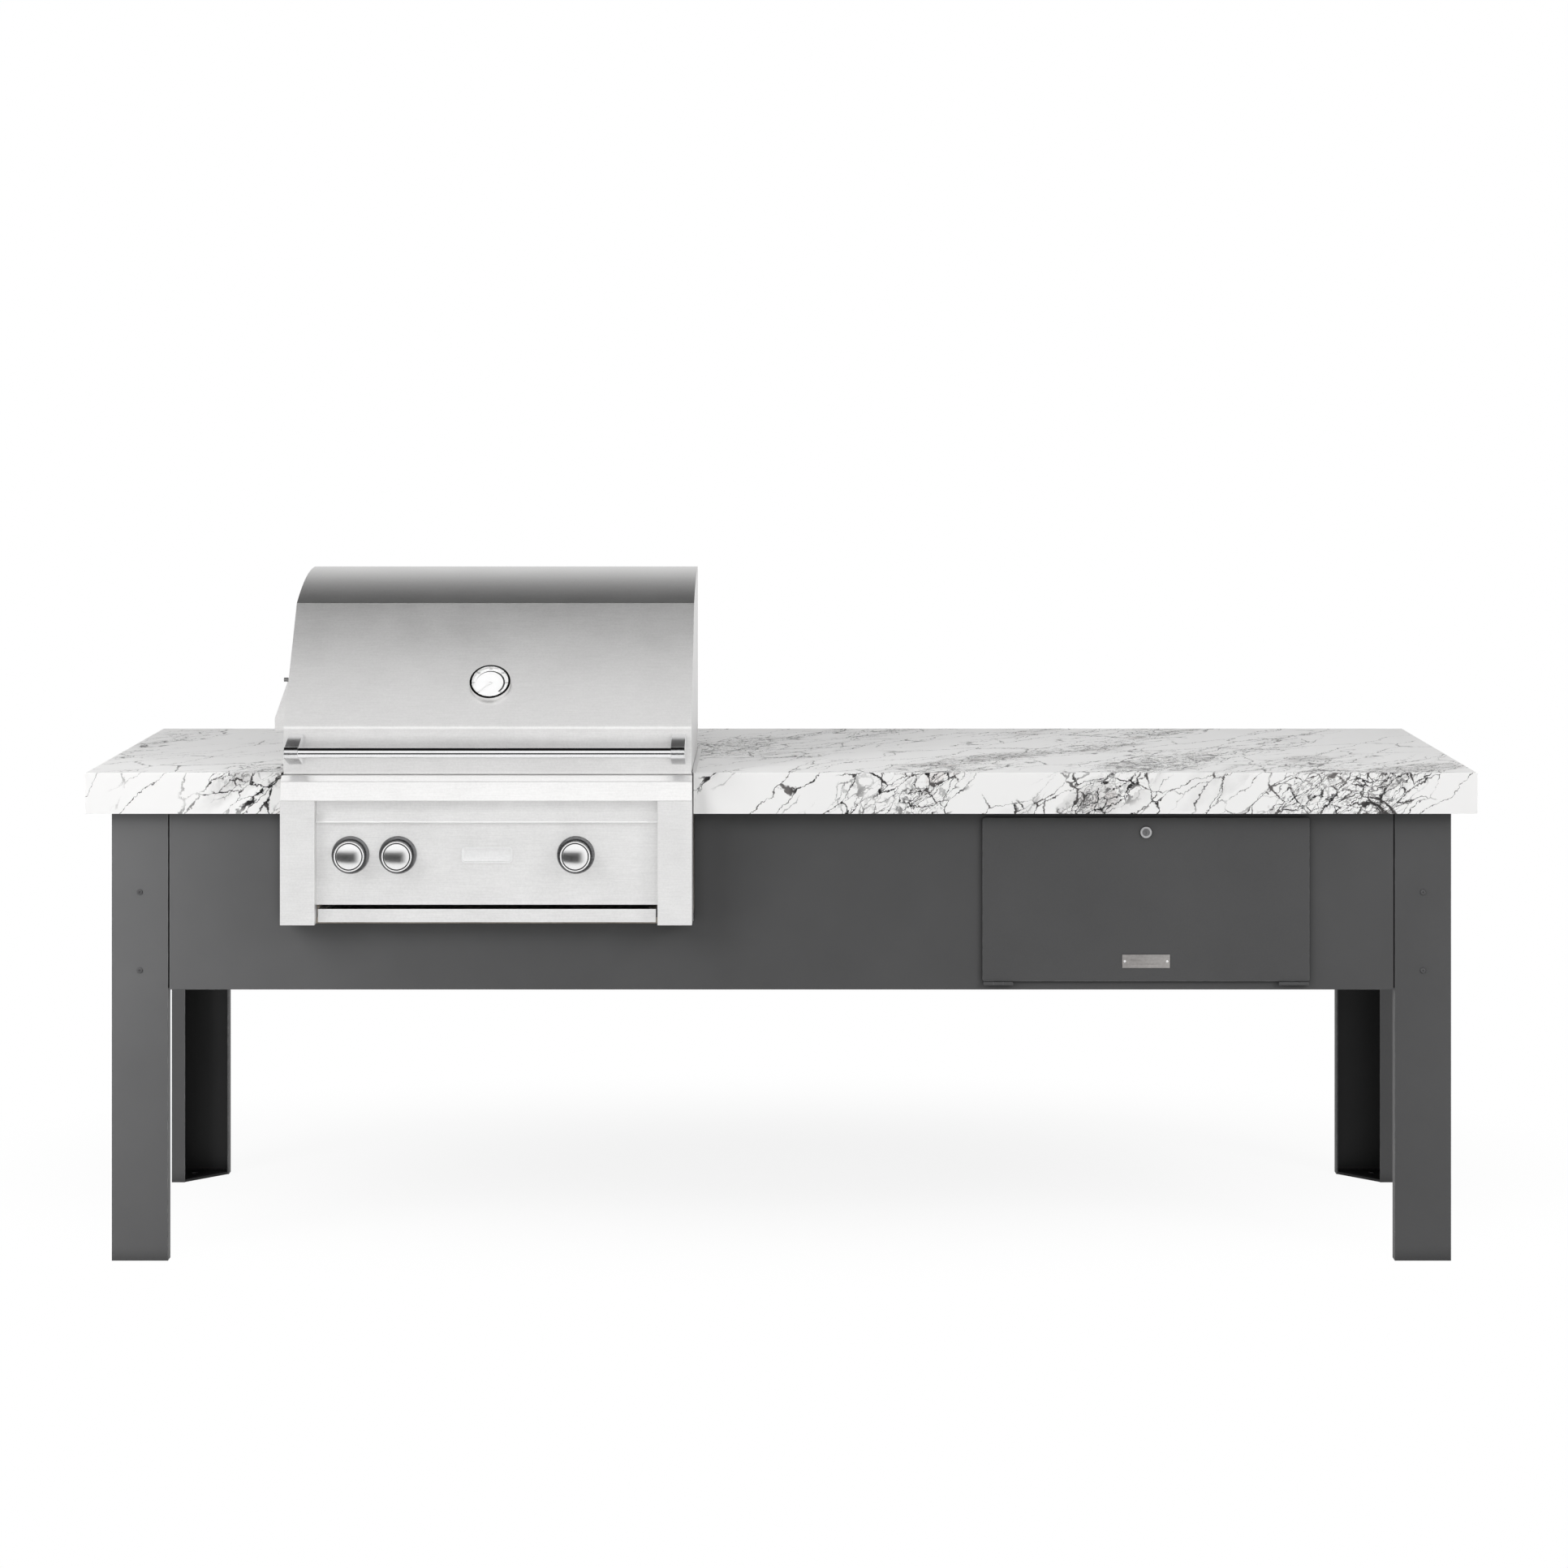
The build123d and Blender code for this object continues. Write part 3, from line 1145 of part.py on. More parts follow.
# Nameplate on the door, bare
with BuildPart() as nameplate:
    plate_z = door_bottom + nameplate_above_door_bottom
    block((door_center - nameplate_width / 2, door_center + nameplate_width / 2),
          (door_face - nameplate_thickness, door_face),
          (plate_z - nameplate_height / 2, plate_z + nameplate_height / 2))
nameplate.part.label = "nameplate"
export_step(nameplate.part, "parts/nameplate.step")
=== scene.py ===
# Barbecue island: its looks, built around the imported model. Metres, same frame as the solids.
import math

import bmesh
import bpy
from mathutils import Matrix, Vector


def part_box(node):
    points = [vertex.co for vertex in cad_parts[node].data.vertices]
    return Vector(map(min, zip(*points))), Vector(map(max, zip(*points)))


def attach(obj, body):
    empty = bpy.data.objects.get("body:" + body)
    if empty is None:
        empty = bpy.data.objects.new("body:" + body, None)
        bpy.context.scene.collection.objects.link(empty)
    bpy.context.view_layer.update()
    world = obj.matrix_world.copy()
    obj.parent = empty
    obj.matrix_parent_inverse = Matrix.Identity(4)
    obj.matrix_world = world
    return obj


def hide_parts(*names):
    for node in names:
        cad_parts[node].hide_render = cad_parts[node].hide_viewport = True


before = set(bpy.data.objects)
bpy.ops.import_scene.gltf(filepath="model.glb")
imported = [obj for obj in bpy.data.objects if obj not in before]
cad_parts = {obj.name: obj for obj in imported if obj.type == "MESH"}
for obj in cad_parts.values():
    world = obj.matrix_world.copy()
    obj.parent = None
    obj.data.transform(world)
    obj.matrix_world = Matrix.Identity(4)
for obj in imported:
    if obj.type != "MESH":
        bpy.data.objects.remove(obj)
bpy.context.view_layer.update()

# Legs: four corner posts, each folded from one 3 mm steel sheet with return lips on its free edges.
# They are powder coated charcoal. The hollow side that faces the island's middle is painted nearly
# black as painted shade, for the shade inside the hollow. Each stands on a plate welded inside its foot.
coat_colour = (0.064, 0.064, 0.065, 1)
coat_worn_colour = (0.17, 0.17, 0.17, 1)
painted_shade_inside_colour = (0.014, 0.014, 0.0145, 1)
# Painted shade: the coat is darkened towards this colour in corners, creases and under overhangs, within
# this reach.
painted_shade_colour = (0.002, 0.002, 0.002, 1)
painted_shade_reach = 0.03
leg_sheet = 0.003
fold_radius = 0.0014
square_on = 0.9
flat_angle = 0.2


def add_node(tree, kind, inputs=None, **options):
    """Adds a node, a shader node unless its kind says otherwise, and sets or links each named input."""
    made = tree.nodes.new(kind if "Node" in kind else "ShaderNode" + kind)
    for option, value in options.items():
        setattr(made, option, value)
    for socket, value in (inputs or {}).items():
        if isinstance(value, bpy.types.NodeSocket):
            tree.links.new(value, made.inputs[socket])
        else:
            made.inputs[socket].default_value = value
    return made


def grey(level):
    """A neutral colour."""
    return (level, level, level, 1)


def mixed(share, first, second):
    """The colour that is a share of the way from the first to the second."""
    inputs = {0: share, 6: first, 7: second}
    return add_node(share.id_data, "Mix", inputs, data_type="RGBA").outputs[2]


def ranged(value, old, new=(0, 1), steps="LINEAR"):
    """A value taken from one range to another, held at the ends."""
    limits = {"Value": value, "From Min": old[0], "From Max": old[1], "To Min": new[0], "To Max": new[1]}
    return add_node(value.id_data, "MapRange", limits, interpolation_type=steps).outputs["Result"]


def worked(kind, first, second=0.0):
    """The result of a Math node."""
    return add_node(first.id_data, "Math", {0: first, 1: second}, operation=kind).outputs[0]


def cloudy(place, scale, detail=3.0):
    """A noise value over a place."""
    inputs = {"Vector": place, "Scale": scale, "Detail": detail, "Roughness": 0.55}
    return add_node(place.id_data, "TexNoise", inputs).outputs["Fac"]


def new_finish(name, **sockets):
    """A new material, its shader with its constant sockets set, and the place on a piece in metres."""
    finish = bpy.data.materials.new(name)
    finish.use_nodes = True
    shader = finish.node_tree.nodes["Principled BSDF"]
    for socket, value in sockets.items():
        shader.inputs[socket.replace("_", " ")].default_value = value
    return finish, shader, add_node(finish.node_tree, "TexCoord").outputs["Object"]


def feed(shader, **values):
    """Links values to the shader's sockets."""
    for socket, value in values.items():
        shader.id_data.links.new(value, shader.inputs[socket.replace("_", " ")])


def raised(shader, height, depth, strength):
    """Feeds a height into the shader's normal as a bump of the given depth."""
    inputs = {"Height": height, "Distance": depth, "Strength": strength}
    feed(shader, Normal=add_node(shader.id_data, "Bump", inputs).outputs["Normal"])


def effect(name, inputs, outputs):
    """A shader node group with named inputs and outputs, its tree and its two end nodes."""
    tree = bpy.data.node_groups.new(name, "ShaderNodeTree")
    tree.interface.new_socket("Place", in_out="INPUT", socket_type="NodeSocketVector")
    for socket, value in inputs.items():
        made = tree.interface.new_socket(socket, in_out="INPUT", socket_type="NodeSocketFloat")
        made.default_value = value
    for socket in outputs:
        tree.interface.new_socket(socket, in_out="OUTPUT", socket_type="NodeSocketFloat")
    return tree, tree.nodes.new("NodeGroupInput").outputs, tree.nodes.new("NodeGroupOutput").inputs


def placed_effect(group, place, **inputs):
    """An effect's outputs in a material, with this material's own values."""
    sockets = {name.replace("_", " "): value for name, value in inputs.items()}
    return add_node(place.id_data, "Group", {"Place": place, **sockets}, node_tree=group).outputs


inputs = {"Grain Scale": 900.0, "Cloud Scale": 5.0}
coat_grain, into, out = effect("coat_grain", inputs, ["Shade", "Height"])
fine = cloudy(into["Place"], into["Grain Scale"], 2.0)
broad = cloudy(into["Place"], into["Cloud Scale"], 4.0)
both = worked("ADD", fine, broad)
coat_grain.links.new(ranged(both, (0.7, 1.3)), out["Shade"])
coat_grain.links.new(fine, out["Height"])

edge_wear, into, out = effect("edge_wear", {"Reach": 0.002, "Break Scale": 60.0}, ["Wear"])
soft_normal = add_node(edge_wear, "Bevel", {"Radius": into["Reach"]}, samples=4).outputs["Normal"]
flat_normal = add_node(edge_wear, "NewGeometry").outputs["Normal"]
inputs = {0: soft_normal, 1: flat_normal}
level = add_node(edge_wear, "VectorMath", inputs, operation="DOT_PRODUCT").outputs["Value"]
near_edge = ranged(level, (0.995, 0.85))
broken = ranged(cloudy(into["Place"], into["Break Scale"]), (0.4, 0.7))
edge_wear.links.new(worked("MULTIPLY", near_edge, broken), out["Wear"])


def powder_coat(name, colour, worn_colour):
    """A fine-textured powder coat, a little lighter where its edges are worn, with painted shade that
    darkens it in corners, creases and under overhangs.
    """
    finish, shader, place = new_finish(name, Specular_IOR_Level=0.35)
    grain = placed_effect(coat_grain, place)
    wear = placed_effect(edge_wear, place)["Wear"]
    darker = [value * 0.9 for value in colour[:3]] + [1]
    lighter = [value * 1.1 for value in colour[:3]] + [1]
    colour_here = mixed(wear, mixed(grain["Shade"], darker, lighter), worn_colour)
    # Painted shade: ambient occlusion darkens the coat's colour where other surfaces are near.
    inputs = {"Distance": painted_shade_reach}
    open_share = add_node(place.id_data, "AmbientOcclusion", inputs, samples=8).outputs["AO"]
    unshaded_share = ranged(open_share, (0.45, 0.95), (0.5, 1))
    feed(shader, Base_Color=mixed(unshaded_share, painted_shade_colour, colour_here),
         Roughness=ranged(grain["Shade"], (0, 1), (0.52, 0.64)))
    raised(shader, grain["Height"], 0.0003, 0.3)
    return finish


charcoal_coat = powder_coat("charcoal_powder_coat", coat_colour, coat_worn_colour)
painted_shade_inside_coat = powder_coat("painted_shade_inside_finish", painted_shade_inside_colour, painted_shade_inside_colour)


def show(name, mesh, *finishes):
    """A new object in the scene with its finishes."""
    piece = bpy.data.objects.new(name, mesh)
    bpy.context.scene.collection.objects.link(piece)
    mesh.materials.clear()
    for finish in finishes:
        mesh.materials.append(finish)
    return piece


def settle(piece):
    """Turns a piece's modifiers into its plain mesh."""
    shown = piece.evaluated_get(bpy.context.evaluated_depsgraph_get())
    mesh = bpy.data.meshes.new_from_object(shown)
    draft = piece.data
    piece.modifiers.clear()
    piece.data = mesh
    bpy.data.meshes.remove(draft)


def merged_mesh(node):
    """A copy of a CAD node's mesh with its loose triangles joined into faces."""
    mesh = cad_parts[node].data.copy()
    body = bmesh.new()
    body.from_mesh(mesh)
    bmesh.ops.remove_doubles(body, verts=body.verts, dist=1e-6)
    bmesh.ops.dissolve_limit(body, angle_limit=math.radians(flat_angle), verts=body.verts, edges=body.edges)
    body.to_mesh(mesh)
    body.free()
    return mesh


def ease(piece, radius, steps=2, angle=30):
    """Rounds a piece's sharp edges and gives it smooth shading between them."""
    piece.data.shade_smooth()
    piece.data.set_sharp_from_angle(angle=math.radians(angle))
    bevel = piece.modifiers.new("eased", "BEVEL")
    bevel.width = radius
    bevel.segments = steps
    bevel.limit_method = "ANGLE"
    bevel.angle_limit = math.radians(angle)
    bevel.harden_normals = True
    settle(piece)


def fasten(piece, body, node=None):
    """Puts a piece on a body, in place of a CAD node if one is named."""
    if node:
        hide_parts(node)
    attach(piece, body)


def eased(node, radius, body, slot, *finishes, angle=30):
    """A CAD node's own shape with eased edges, shown in place of the node."""
    piece = show(node + "_eased", merged_mesh(node), *finishes)
    ease(piece, radius, angle=angle)
    fasten(piece, body, node)
    return piece


for corner in ("front_left", "front_right", "rear_left", "rear_right"):
    leg = eased("leg_" + corner, fold_radius, "island", "charcoal_powder_coat", charcoal_coat, painted_shade_inside_coat)
    low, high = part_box("leg_" + corner)
    inner = [low[axis] + leg_sheet if high[axis] < 0 else high[axis] - leg_sheet for axis in (0, 1)]
    # The hollow side's faces get the nearly black painted shade.
    for face in leg.data.polygons:
        hollow = [abs(face.normal[axis]) > square_on and abs(face.center[axis] - inner[axis]) < leg_sheet / 2
                  for axis in (0, 1)]
        face.material_index = int(any(hollow))


def dress(finish, *nodes):
    """Gives CAD nodes whose shape is right a finish."""
    for node in nodes:
        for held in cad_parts[node].material_slots:
            held.material = finish


# The foot plates inside the hollows get the same nearly black painted shade.
dress(painted_shade_inside_coat, "foot_plates")

# Aprons: four 3 mm sheets with flanges folded back top and bottom, screwed to the legs through
# corner brackets. They carry the same charcoal coat. The front one has the mouth for the grill
# and the opening behind the door.
for side in ("front", "rear", "left", "right"):
    eased(side + "_apron", fold_radius, "island", "charcoal_powder_coat", charcoal_coat)

# Corner brackets: folded angles behind each joint of leg and apron, which the screws pull up. A foot
# on each arm reaches down beside the leg's lip to the apron's fold and closes the joint.
frame_half = (1.25, 0.39)
corners = [(side_x, side_y) for side_x in (-1, 1) for side_y in (-1, 1)]
leg_width = 0.105
apron_sheet = 0.003
bracket_sheet = 0.003
foot_length = 0.04
foot_rise = 0.039
apron_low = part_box("front_apron")[0][2]
foot_low = apron_low + apron_sheet
foot_high = apron_low + foot_rise
foot_size = foot_high - foot_low
foot_level = (foot_low + foot_high) / 2
foot_along = leg_width + foot_length / 2
foot_behind = apron_sheet + bracket_sheet / 2


def add_box(body, centre, size, turn=Matrix.Identity(4)):
    """Adds a box to a shape that is being built."""
    place = Matrix.Translation(centre) @ turn @ Matrix.Diagonal((*size, 1))
    bmesh.ops.create_cube(body, size=1.0, matrix=place)


bracket_mesh = merged_mesh("corner_brackets")
footed = bmesh.new()
footed.from_mesh(bracket_mesh)
for corner in corners:
    along = [side * (half - foot_along) for side, half in zip(corner, frame_half)]
    behind = [side * (half - foot_behind) for side, half in zip(corner, frame_half)]
    add_box(footed, (along[0], behind[1], foot_level), (foot_length, bracket_sheet, foot_size))
    add_box(footed, (behind[0], along[1], foot_level), (bracket_sheet, foot_length, foot_size))
footed.to_mesh(bracket_mesh)
footed.free()
# The brackets, hidden behind the aprons, get the same nearly black painted shade.
brackets = show("corner_brackets_footed", bracket_mesh, painted_shade_inside_coat)
fasten(brackets, "island", "corner_brackets")

# Screws: dark button heads with a hexagon socket, two on each face of each leg, through leg and
# bracket. They are turned steel, blackened and rubbed a little bright at the edges.
screw_radius = 0.0048
screw_height = 0.0026
socket_radius = 0.0021
socket_depth = 0.0014
head_sides = 24
head_shares = ((1, 0), (1, 0.3), (0.93, 0.62), (0.75, 0.86), (0.55, 1))
smooth_angle = 35


def finished(name, body):
    """The mesh of a shape that has been built."""
    mesh = bpy.data.meshes.new(name)
    body.to_mesh(mesh)
    body.free()
    return mesh


def round_point(radius, angle, height):
    """A point at a distance from the Z axis, at an angle and a height."""
    return (radius * math.cos(angle), radius * math.sin(angle), height)


def stitch(body, rings):
    """Closes the skin between each two rings of points. A ring of one point is a pole."""
    for lower, upper in zip(rings, rings[1:]):
        count = max(len(lower), len(upper))
        for step in range(count):
            after = (step + 1) % count
            loop = [lower[step % len(lower)], lower[after % len(lower)],
                    upper[after % len(upper)], upper[step % len(upper)]]
            body.faces.new(list(dict.fromkeys(loop)))


def button_head():
    """One button head with its hexagon socket, pointing up, its seat at the origin."""
    head = bmesh.new()
    levels = [(share * screw_radius, rise * screw_height, False) for share, rise in head_shares]
    levels += [(socket_radius, screw_height, True), (socket_radius, screw_height - socket_depth, True)]
    rings = []
    for radius, height, hexagon in levels:
        ring = []
        for step in range(head_sides):
            angle = 2 * math.pi * step / head_sides
            reach = radius
            if hexagon:
                reach = radius / math.cos((angle + math.pi / 6) % (math.pi / 3) - math.pi / 6)
            ring.append(head.verts.new(round_point(reach, angle, height)))
        rings.append(ring)
    stitch(head, rings)
    head.faces.new(rings[-1])
    head.faces.new(reversed(rings[0]))
    return finished("button_head", head)


set_on_points = bpy.data.node_groups.new("set_on_points", "GeometryNodeTree")
for socket, kind in (("Geometry", "Geometry"), ("Shape", "Object"), ("Finish", "Material")):
    set_on_points.interface.new_socket(socket, in_out="INPUT", socket_type="NodeSocket" + kind)
set_on_points.interface.new_socket("Geometry", in_out="OUTPUT", socket_type="NodeSocketGeometry")
into = set_on_points.nodes.new("NodeGroupInput").outputs
out = set_on_points.nodes.new("NodeGroupOutput").inputs
inputs = {"Name": "facing"}
facing = add_node(set_on_points, "GeometryNodeInputNamedAttribute", inputs, data_type="FLOAT_VECTOR")
inputs = {"Vector": facing.outputs["Attribute"]}
turn = add_node(set_on_points, "FunctionNodeAlignRotationToVector", inputs, axis="Z").outputs["Rotation"]
shape = add_node(set_on_points, "GeometryNodeObjectInfo", {"Object": into["Shape"]}).outputs["Geometry"]
inputs = {"Points": into["Geometry"], "Instance": shape, "Rotation": turn}
copies = add_node(set_on_points, "GeometryNodeInstanceOnPoints", inputs).outputs["Instances"]
plain = add_node(set_on_points, "GeometryNodeRealizeInstances", {"Geometry": copies}).outputs["Geometry"]
inputs = {"Geometry": plain, "Material": into["Finish"]}
coloured = add_node(set_on_points, "GeometryNodeSetMaterial", inputs).outputs["Geometry"]
set_on_points.links.new(coloured, out["Geometry"])


def copies_on(name, shape_mesh, places, finish):
    """Copies of a small shape as one plain piece. Each place gives a point and the way it faces."""
    points = bpy.data.meshes.new(name)
    points.from_pydata([place for place, way in places], [], [])
    facing = points.attributes.new("facing", "FLOAT_VECTOR", "POINT")
    facing.data.foreach_set("vector", [value for place, way in places for value in way])
    piece = show(name, points, finish)
    values = {"Shape": show(name + "_shape", shape_mesh, finish), "Finish": finish}
    grown = piece.modifiers.new("set_on_points", "NODES")
    grown.node_group = set_on_points
    for item in set_on_points.interface.items_tree:
        if item.name in values:
            grown[item.identifier] = values[item.name]
    settle(piece)
    bpy.data.objects.remove(values["Shape"])
    piece.data.shade_smooth()
    piece.data.set_sharp_from_angle(angle=math.radians(smooth_angle))
    return piece


black_steel, shader, place = new_finish("black_screw_steel", Metallic=0.1, Specular_IOR_Level=0.5)
grain = placed_effect(coat_grain, place, Grain_Scale=2500.0)
wear = placed_effect(edge_wear, place, Reach=0.0004)["Wear"]
tone = mixed(grain["Shade"], (0.08, 0.08, 0.082, 1), (0.12, 0.12, 0.122, 1))
feed(shader, Base_Color=mixed(wear, tone, grey(0.3)), Roughness=ranged(grain["Shade"], (0, 1), (0.28, 0.42)))

screw_levels = (0.542, 0.688)
screw_inset = 0.0525
screw_places = []
for side_x, side_y in corners:
    for level in screw_levels:
        across = side_x * (frame_half[0] - screw_inset)
        along = side_y * (frame_half[1] - screw_inset)
        screw_places.append(((across, side_y * frame_half[1], level), (0, side_y, 0)))
        screw_places.append(((side_x * frame_half[0], along, level), (side_x, 0, 0)))
screws = copies_on("button_screws", button_head(), screw_places, black_steel)
fasten(screws, "island", "leg_screws")

# Hidden steelwork: box rails under the counter, angles under the grill and the storage bin, all
# of galvanised sheet with its crystal spangle left bare.
spangle, shader, place = new_finish("galvanised_sheet", Metallic=0.9)
inputs = {"Vector": place, "Scale": 90.0}
crystals = add_node(place.id_data, "TexVoronoi", inputs).outputs["Distance"]
shade = ranged(worked("ADD", crystals, cloudy(place, 240.0)), (0.4, 1.2))
feed(shader, Base_Color=mixed(shade, (0.42, 0.44, 0.46, 1), (0.62, 0.64, 0.66, 1)),
     Roughness=ranged(shade, (0, 1), (0.34, 0.55)))
raised(shader, crystals, 0.0002, 0.15)
dress(spangle, "counter_rails", "grill_support_rails", "storage_bin")

# Counter: a 20 mm stone slab with drop edges glued on in a mitre, polished, with a small flat ground
# on the upper arris. It is a broken white marble: pale pieces bound by thin ragged charcoal veins,
# crushed small along bands that lean to the right and run on over the edge.
arris = 0.0012
stone_white = (0.91, 0.906, 0.9, 1)
stone_grey = (0.46, 0.45, 0.445, 1)
vein_dark = (0.02, 0.019, 0.02, 1)
vein_grey = (0.15, 0.14, 0.138, 1)
vein_brown = (0.42, 0.28, 0.25, 1)
vein_turn = (0, math.radians(-46), math.radians(-37))
piece_stretch = (2.6, 4.5, 1.0)
band_stretch = (3.6, 4.5, 1.0)

marble, shader, place = new_finish("veined_marble", Specular_IOR_Level=0.2)
tree = place.id_data


def pushed_about(place, scale, reach, detail):
    """A place pushed about by a noise, by up to half the reach each way."""
    inputs = {"Vector": place, "Scale": scale, "Detail": detail, "Roughness": 0.6}
    swirl = add_node(tree, "TexNoise", inputs).outputs["Color"]
    centred = add_node(tree, "VectorMath", {0: swirl, 1: (0.5, 0.5, 0.5)}, operation="SUBTRACT")
    inputs = {0: centred.outputs["Vector"], 1: (reach, reach, reach), 2: place}
    return add_node(tree, "VectorMath", inputs, operation="MULTIPLY_ADD").outputs["Vector"]


def leaning(place, stretch):
    """A place turned to the way the stone was pressed, and drawn out along it."""
    inputs = {"Vector": place, "Rotation": vein_turn, "Scale": stretch}
    return add_node(tree, "Mapping", inputs, vector_type="TEXTURE").outputs["Vector"]


def both_of(first, second):
    """The product of two values."""
    return worked("MULTIPLY", first, second)


def rising(value, start, end, most=1):
    """A share that rises from nothing to the most as a value goes from start to end."""
    return ranged(value, (start, end), (0, most))


swirled = pushed_about(place, 6.0, 0.05, 2.0)
ragged = pushed_about(pushed_about(swirled, 30.0, 0.022, 4.0), 150.0, 0.008, 3.0)
pieces = leaning(ragged, piece_stretch)
across = add_node(tree, "SeparateXYZ", {0: place}).outputs["X"]
right_end = ranged(across, (1.0, 1.26), (0, 0.1))
left_end = ranged(across, (-1.0, -0.8), (0.09, 0))
toward_ends = worked("ADD", left_end, right_end)
crushed = worked("SUBTRACT", cloudy(leaning(swirled, band_stretch), 7.5), toward_ends)


def edges_between(per_metre):
    """Distance to the nearest edge between broken pieces of one size, in pieces."""
    inputs = {"Vector": pieces, "Scale": per_metre}
    return add_node(tree, "TexVoronoi", inputs, feature="DISTANCE_TO_EDGE").outputs["Distance"]


def vein(per_metre, thin, thick, shown):
    """Veins between broken pieces of one size, from thin to thick in half width, where they are shown."""
    width = ranged(cloudy(place, 40.0), (0.42, 0.7), (thin * per_metre, thick * per_metre))
    line = ranged(edges_between(per_metre), (both_of(width, 0.35), width), (1, 0), "SMOOTHSTEP")
    return both_of(line, shown)


veins = [vein(13.0, 0.0004, 0.0013, rising(cloudy(pieces, 6.0, 2.0), 0.38, 0.46)),
         vein(30.0, 0.0004, 0.0016, rising(crushed, 0.43, 0.48)),
         vein(70.0, 0.0003, 0.0013, rising(crushed, 0.5, 0.56)),
         vein(150.0, 0.0002, 0.001, rising(crushed, 0.55, 0.61, 0.7))]
beside = ranged(edges_between(20.0), (0.03, 0.2), (1, 0))
drawn = both_of(rising(cloudy(ragged, 70.0, 4.0), 0.56, 0.61), both_of(beside, rising(crushed, 0.52, 0.6)))
for more in veins:
    drawn = worked("MAXIMUM", drawn, more)
chance = add_node(tree, "TexVoronoi", {"Vector": pieces, "Scale": 20.0}).outputs["Color"]
clouded = both_of(rising(chance, 0.62, 0.66, 0.5), rising(crushed, 0.46, 0.56))
clouded = both_of(clouded, ranged(cloudy(ragged, 40.0), (0.35, 0.62), (0.3, 1)))
stain = both_of(rising(cloudy(place, 9.0), 0.6, 0.7, 0.4), rising(crushed, 0.5, 0.6))
vein_colour = mixed(rising(cloudy(place, 22.0), 0.4, 0.66), vein_dark, vein_grey)
ground = mixed(stain, mixed(clouded, stone_white, stone_grey), vein_brown)
feed(shader, Base_Color=mixed(drawn, ground, vein_colour),
     Roughness=ranged(cloudy(place, 30.0), (0.3, 0.7), (0.34, 0.46)))


def ground_arris(mesh, point, outward):
    """Cuts a narrow flat along an edge and closes the cut."""
    body = bmesh.new()
    body.from_mesh(mesh)
    whole = body.verts[:] + body.edges[:] + body.faces[:]
    cut = bmesh.ops.bisect_plane(body, geom=whole, plane_co=point, plane_no=outward, clear_outer=True)
    rim = [item for item in cut["geom_cut"] if isinstance(item, bmesh.types.BMEdge)]
    bmesh.ops.contextual_create(body, geom=rim)
    body.to_mesh(mesh)
    body.free()


slab_low, slab_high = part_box("counter_slab")
stone_pieces = ["counter_slab"]
stone_pieces += ["counter_edge_" + side for side in ("front_left", "front_right", "rear", "left", "right")]
for node in stone_pieces:
    stone = merged_mesh(node)
    for way in (Vector((-1, 0, 0)), Vector((1, 0, 0)), Vector((0, -1, 0)), Vector((0, 1, 0))):
        corner = [slab_high[axis] if way[axis] > 0 else slab_low[axis] for axis in (0, 1)]
        outward = (way + Vector((0, 0, 1))).normalized()
        ground_arris(stone, Vector((*corner, slab_high[2])) - outward * arris / math.sqrt(2), outward)
    piece = show(node + "_veined", stone, marble)
    fasten(piece, "island", node)

# Grill body: firebox, face and trim of stainless sheet, folded and spot welded, with a fine satin
# grain that runs along the grill. The firebox inside is the same steel, straw and brown from heat.
inputs = {"Line Scale": 900.0, "Mottle Scale": 260.0}
brushed_grain, into, out = effect("brushed_grain", inputs, ["Shade", "Height"])
stretched = add_node(brushed_grain, "Mapping", {"Vector": into["Place"], "Scale": (0.03, 1, 1)})
lines = cloudy(stretched.outputs["Vector"], into["Line Scale"], 2.0)
mottle = cloudy(into["Place"], into["Mottle Scale"], 4.0)
patches = cloudy(into["Place"], 11.0)
both = worked("ADD", worked("ADD", lines, mottle), patches)
brushed_grain.links.new(ranged(both, (1.1, 1.9)), out["Shade"])
softened = worked("MULTIPLY", mottle, 0.6)
brushed_grain.links.new(worked("ADD", lines, softened), out["Height"])


def steel(name, dark, light, smooth, rough, height=0.25, metal=1.0):
    """Stainless steel between two tones and two roughnesses, with a satin grain."""
    finish, shader, place = new_finish(name, Metallic=metal)
    grain = placed_effect(brushed_grain, place)
    feed(shader, Base_Color=mixed(grain["Shade"], dark, light),
         Roughness=ranged(grain["Shade"], (0, 1), (smooth, rough)))
    raised(shader, grain["Height"], 0.00025, height)
    return finish


satin_steel = steel("satin_stainless", (0.8, 0.795, 0.79, 1), (0.92, 0.915, 0.91, 1), 0.33, 0.39, 0.1)
hot_steel = steel("heat_stained_stainless", (0.3, 0.25, 0.2, 1), (0.5, 0.46, 0.4, 1), 0.35, 0.6)
dress(hot_steel, "firebox", "flame_tamers", "main_burners", "rear_burner", "cooking_grates", "warming_rack",
      "tray_runners")
face_steel = steel("bead_blasted_stainless", (0.74, 0.737, 0.733, 1), (0.86, 0.857, 0.853, 1),
                   0.42, 0.48, 0.1, 0.65)
for node in ("pilaster_left", "pilaster_right", "control_panel"):
    eased(node, 0.0012, "island", "satin_stainless", face_steel, angle=15)

# Front ledge: a stainless cap over the grill's face, rolled to a nose along its upper front edge.
# Its face leans back a little, and a slope rises from the nose to the flat in front of the hood. A
# lip turned up behind the hood's edge keeps rain out.
ledge_low, ledge_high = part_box("front_ledge")
ledge_over_cad = 0.001
ledge_top = ledge_high[2] + ledge_over_cad
slope_rise = 0.009
slope_tilt = math.radians(38)
face_tilt = math.radians(10)
ledge_nose = 0.004
lip_inset = 0.006
lip_back = 0.04
lip_depth = 0.005
lip_height = 0.007


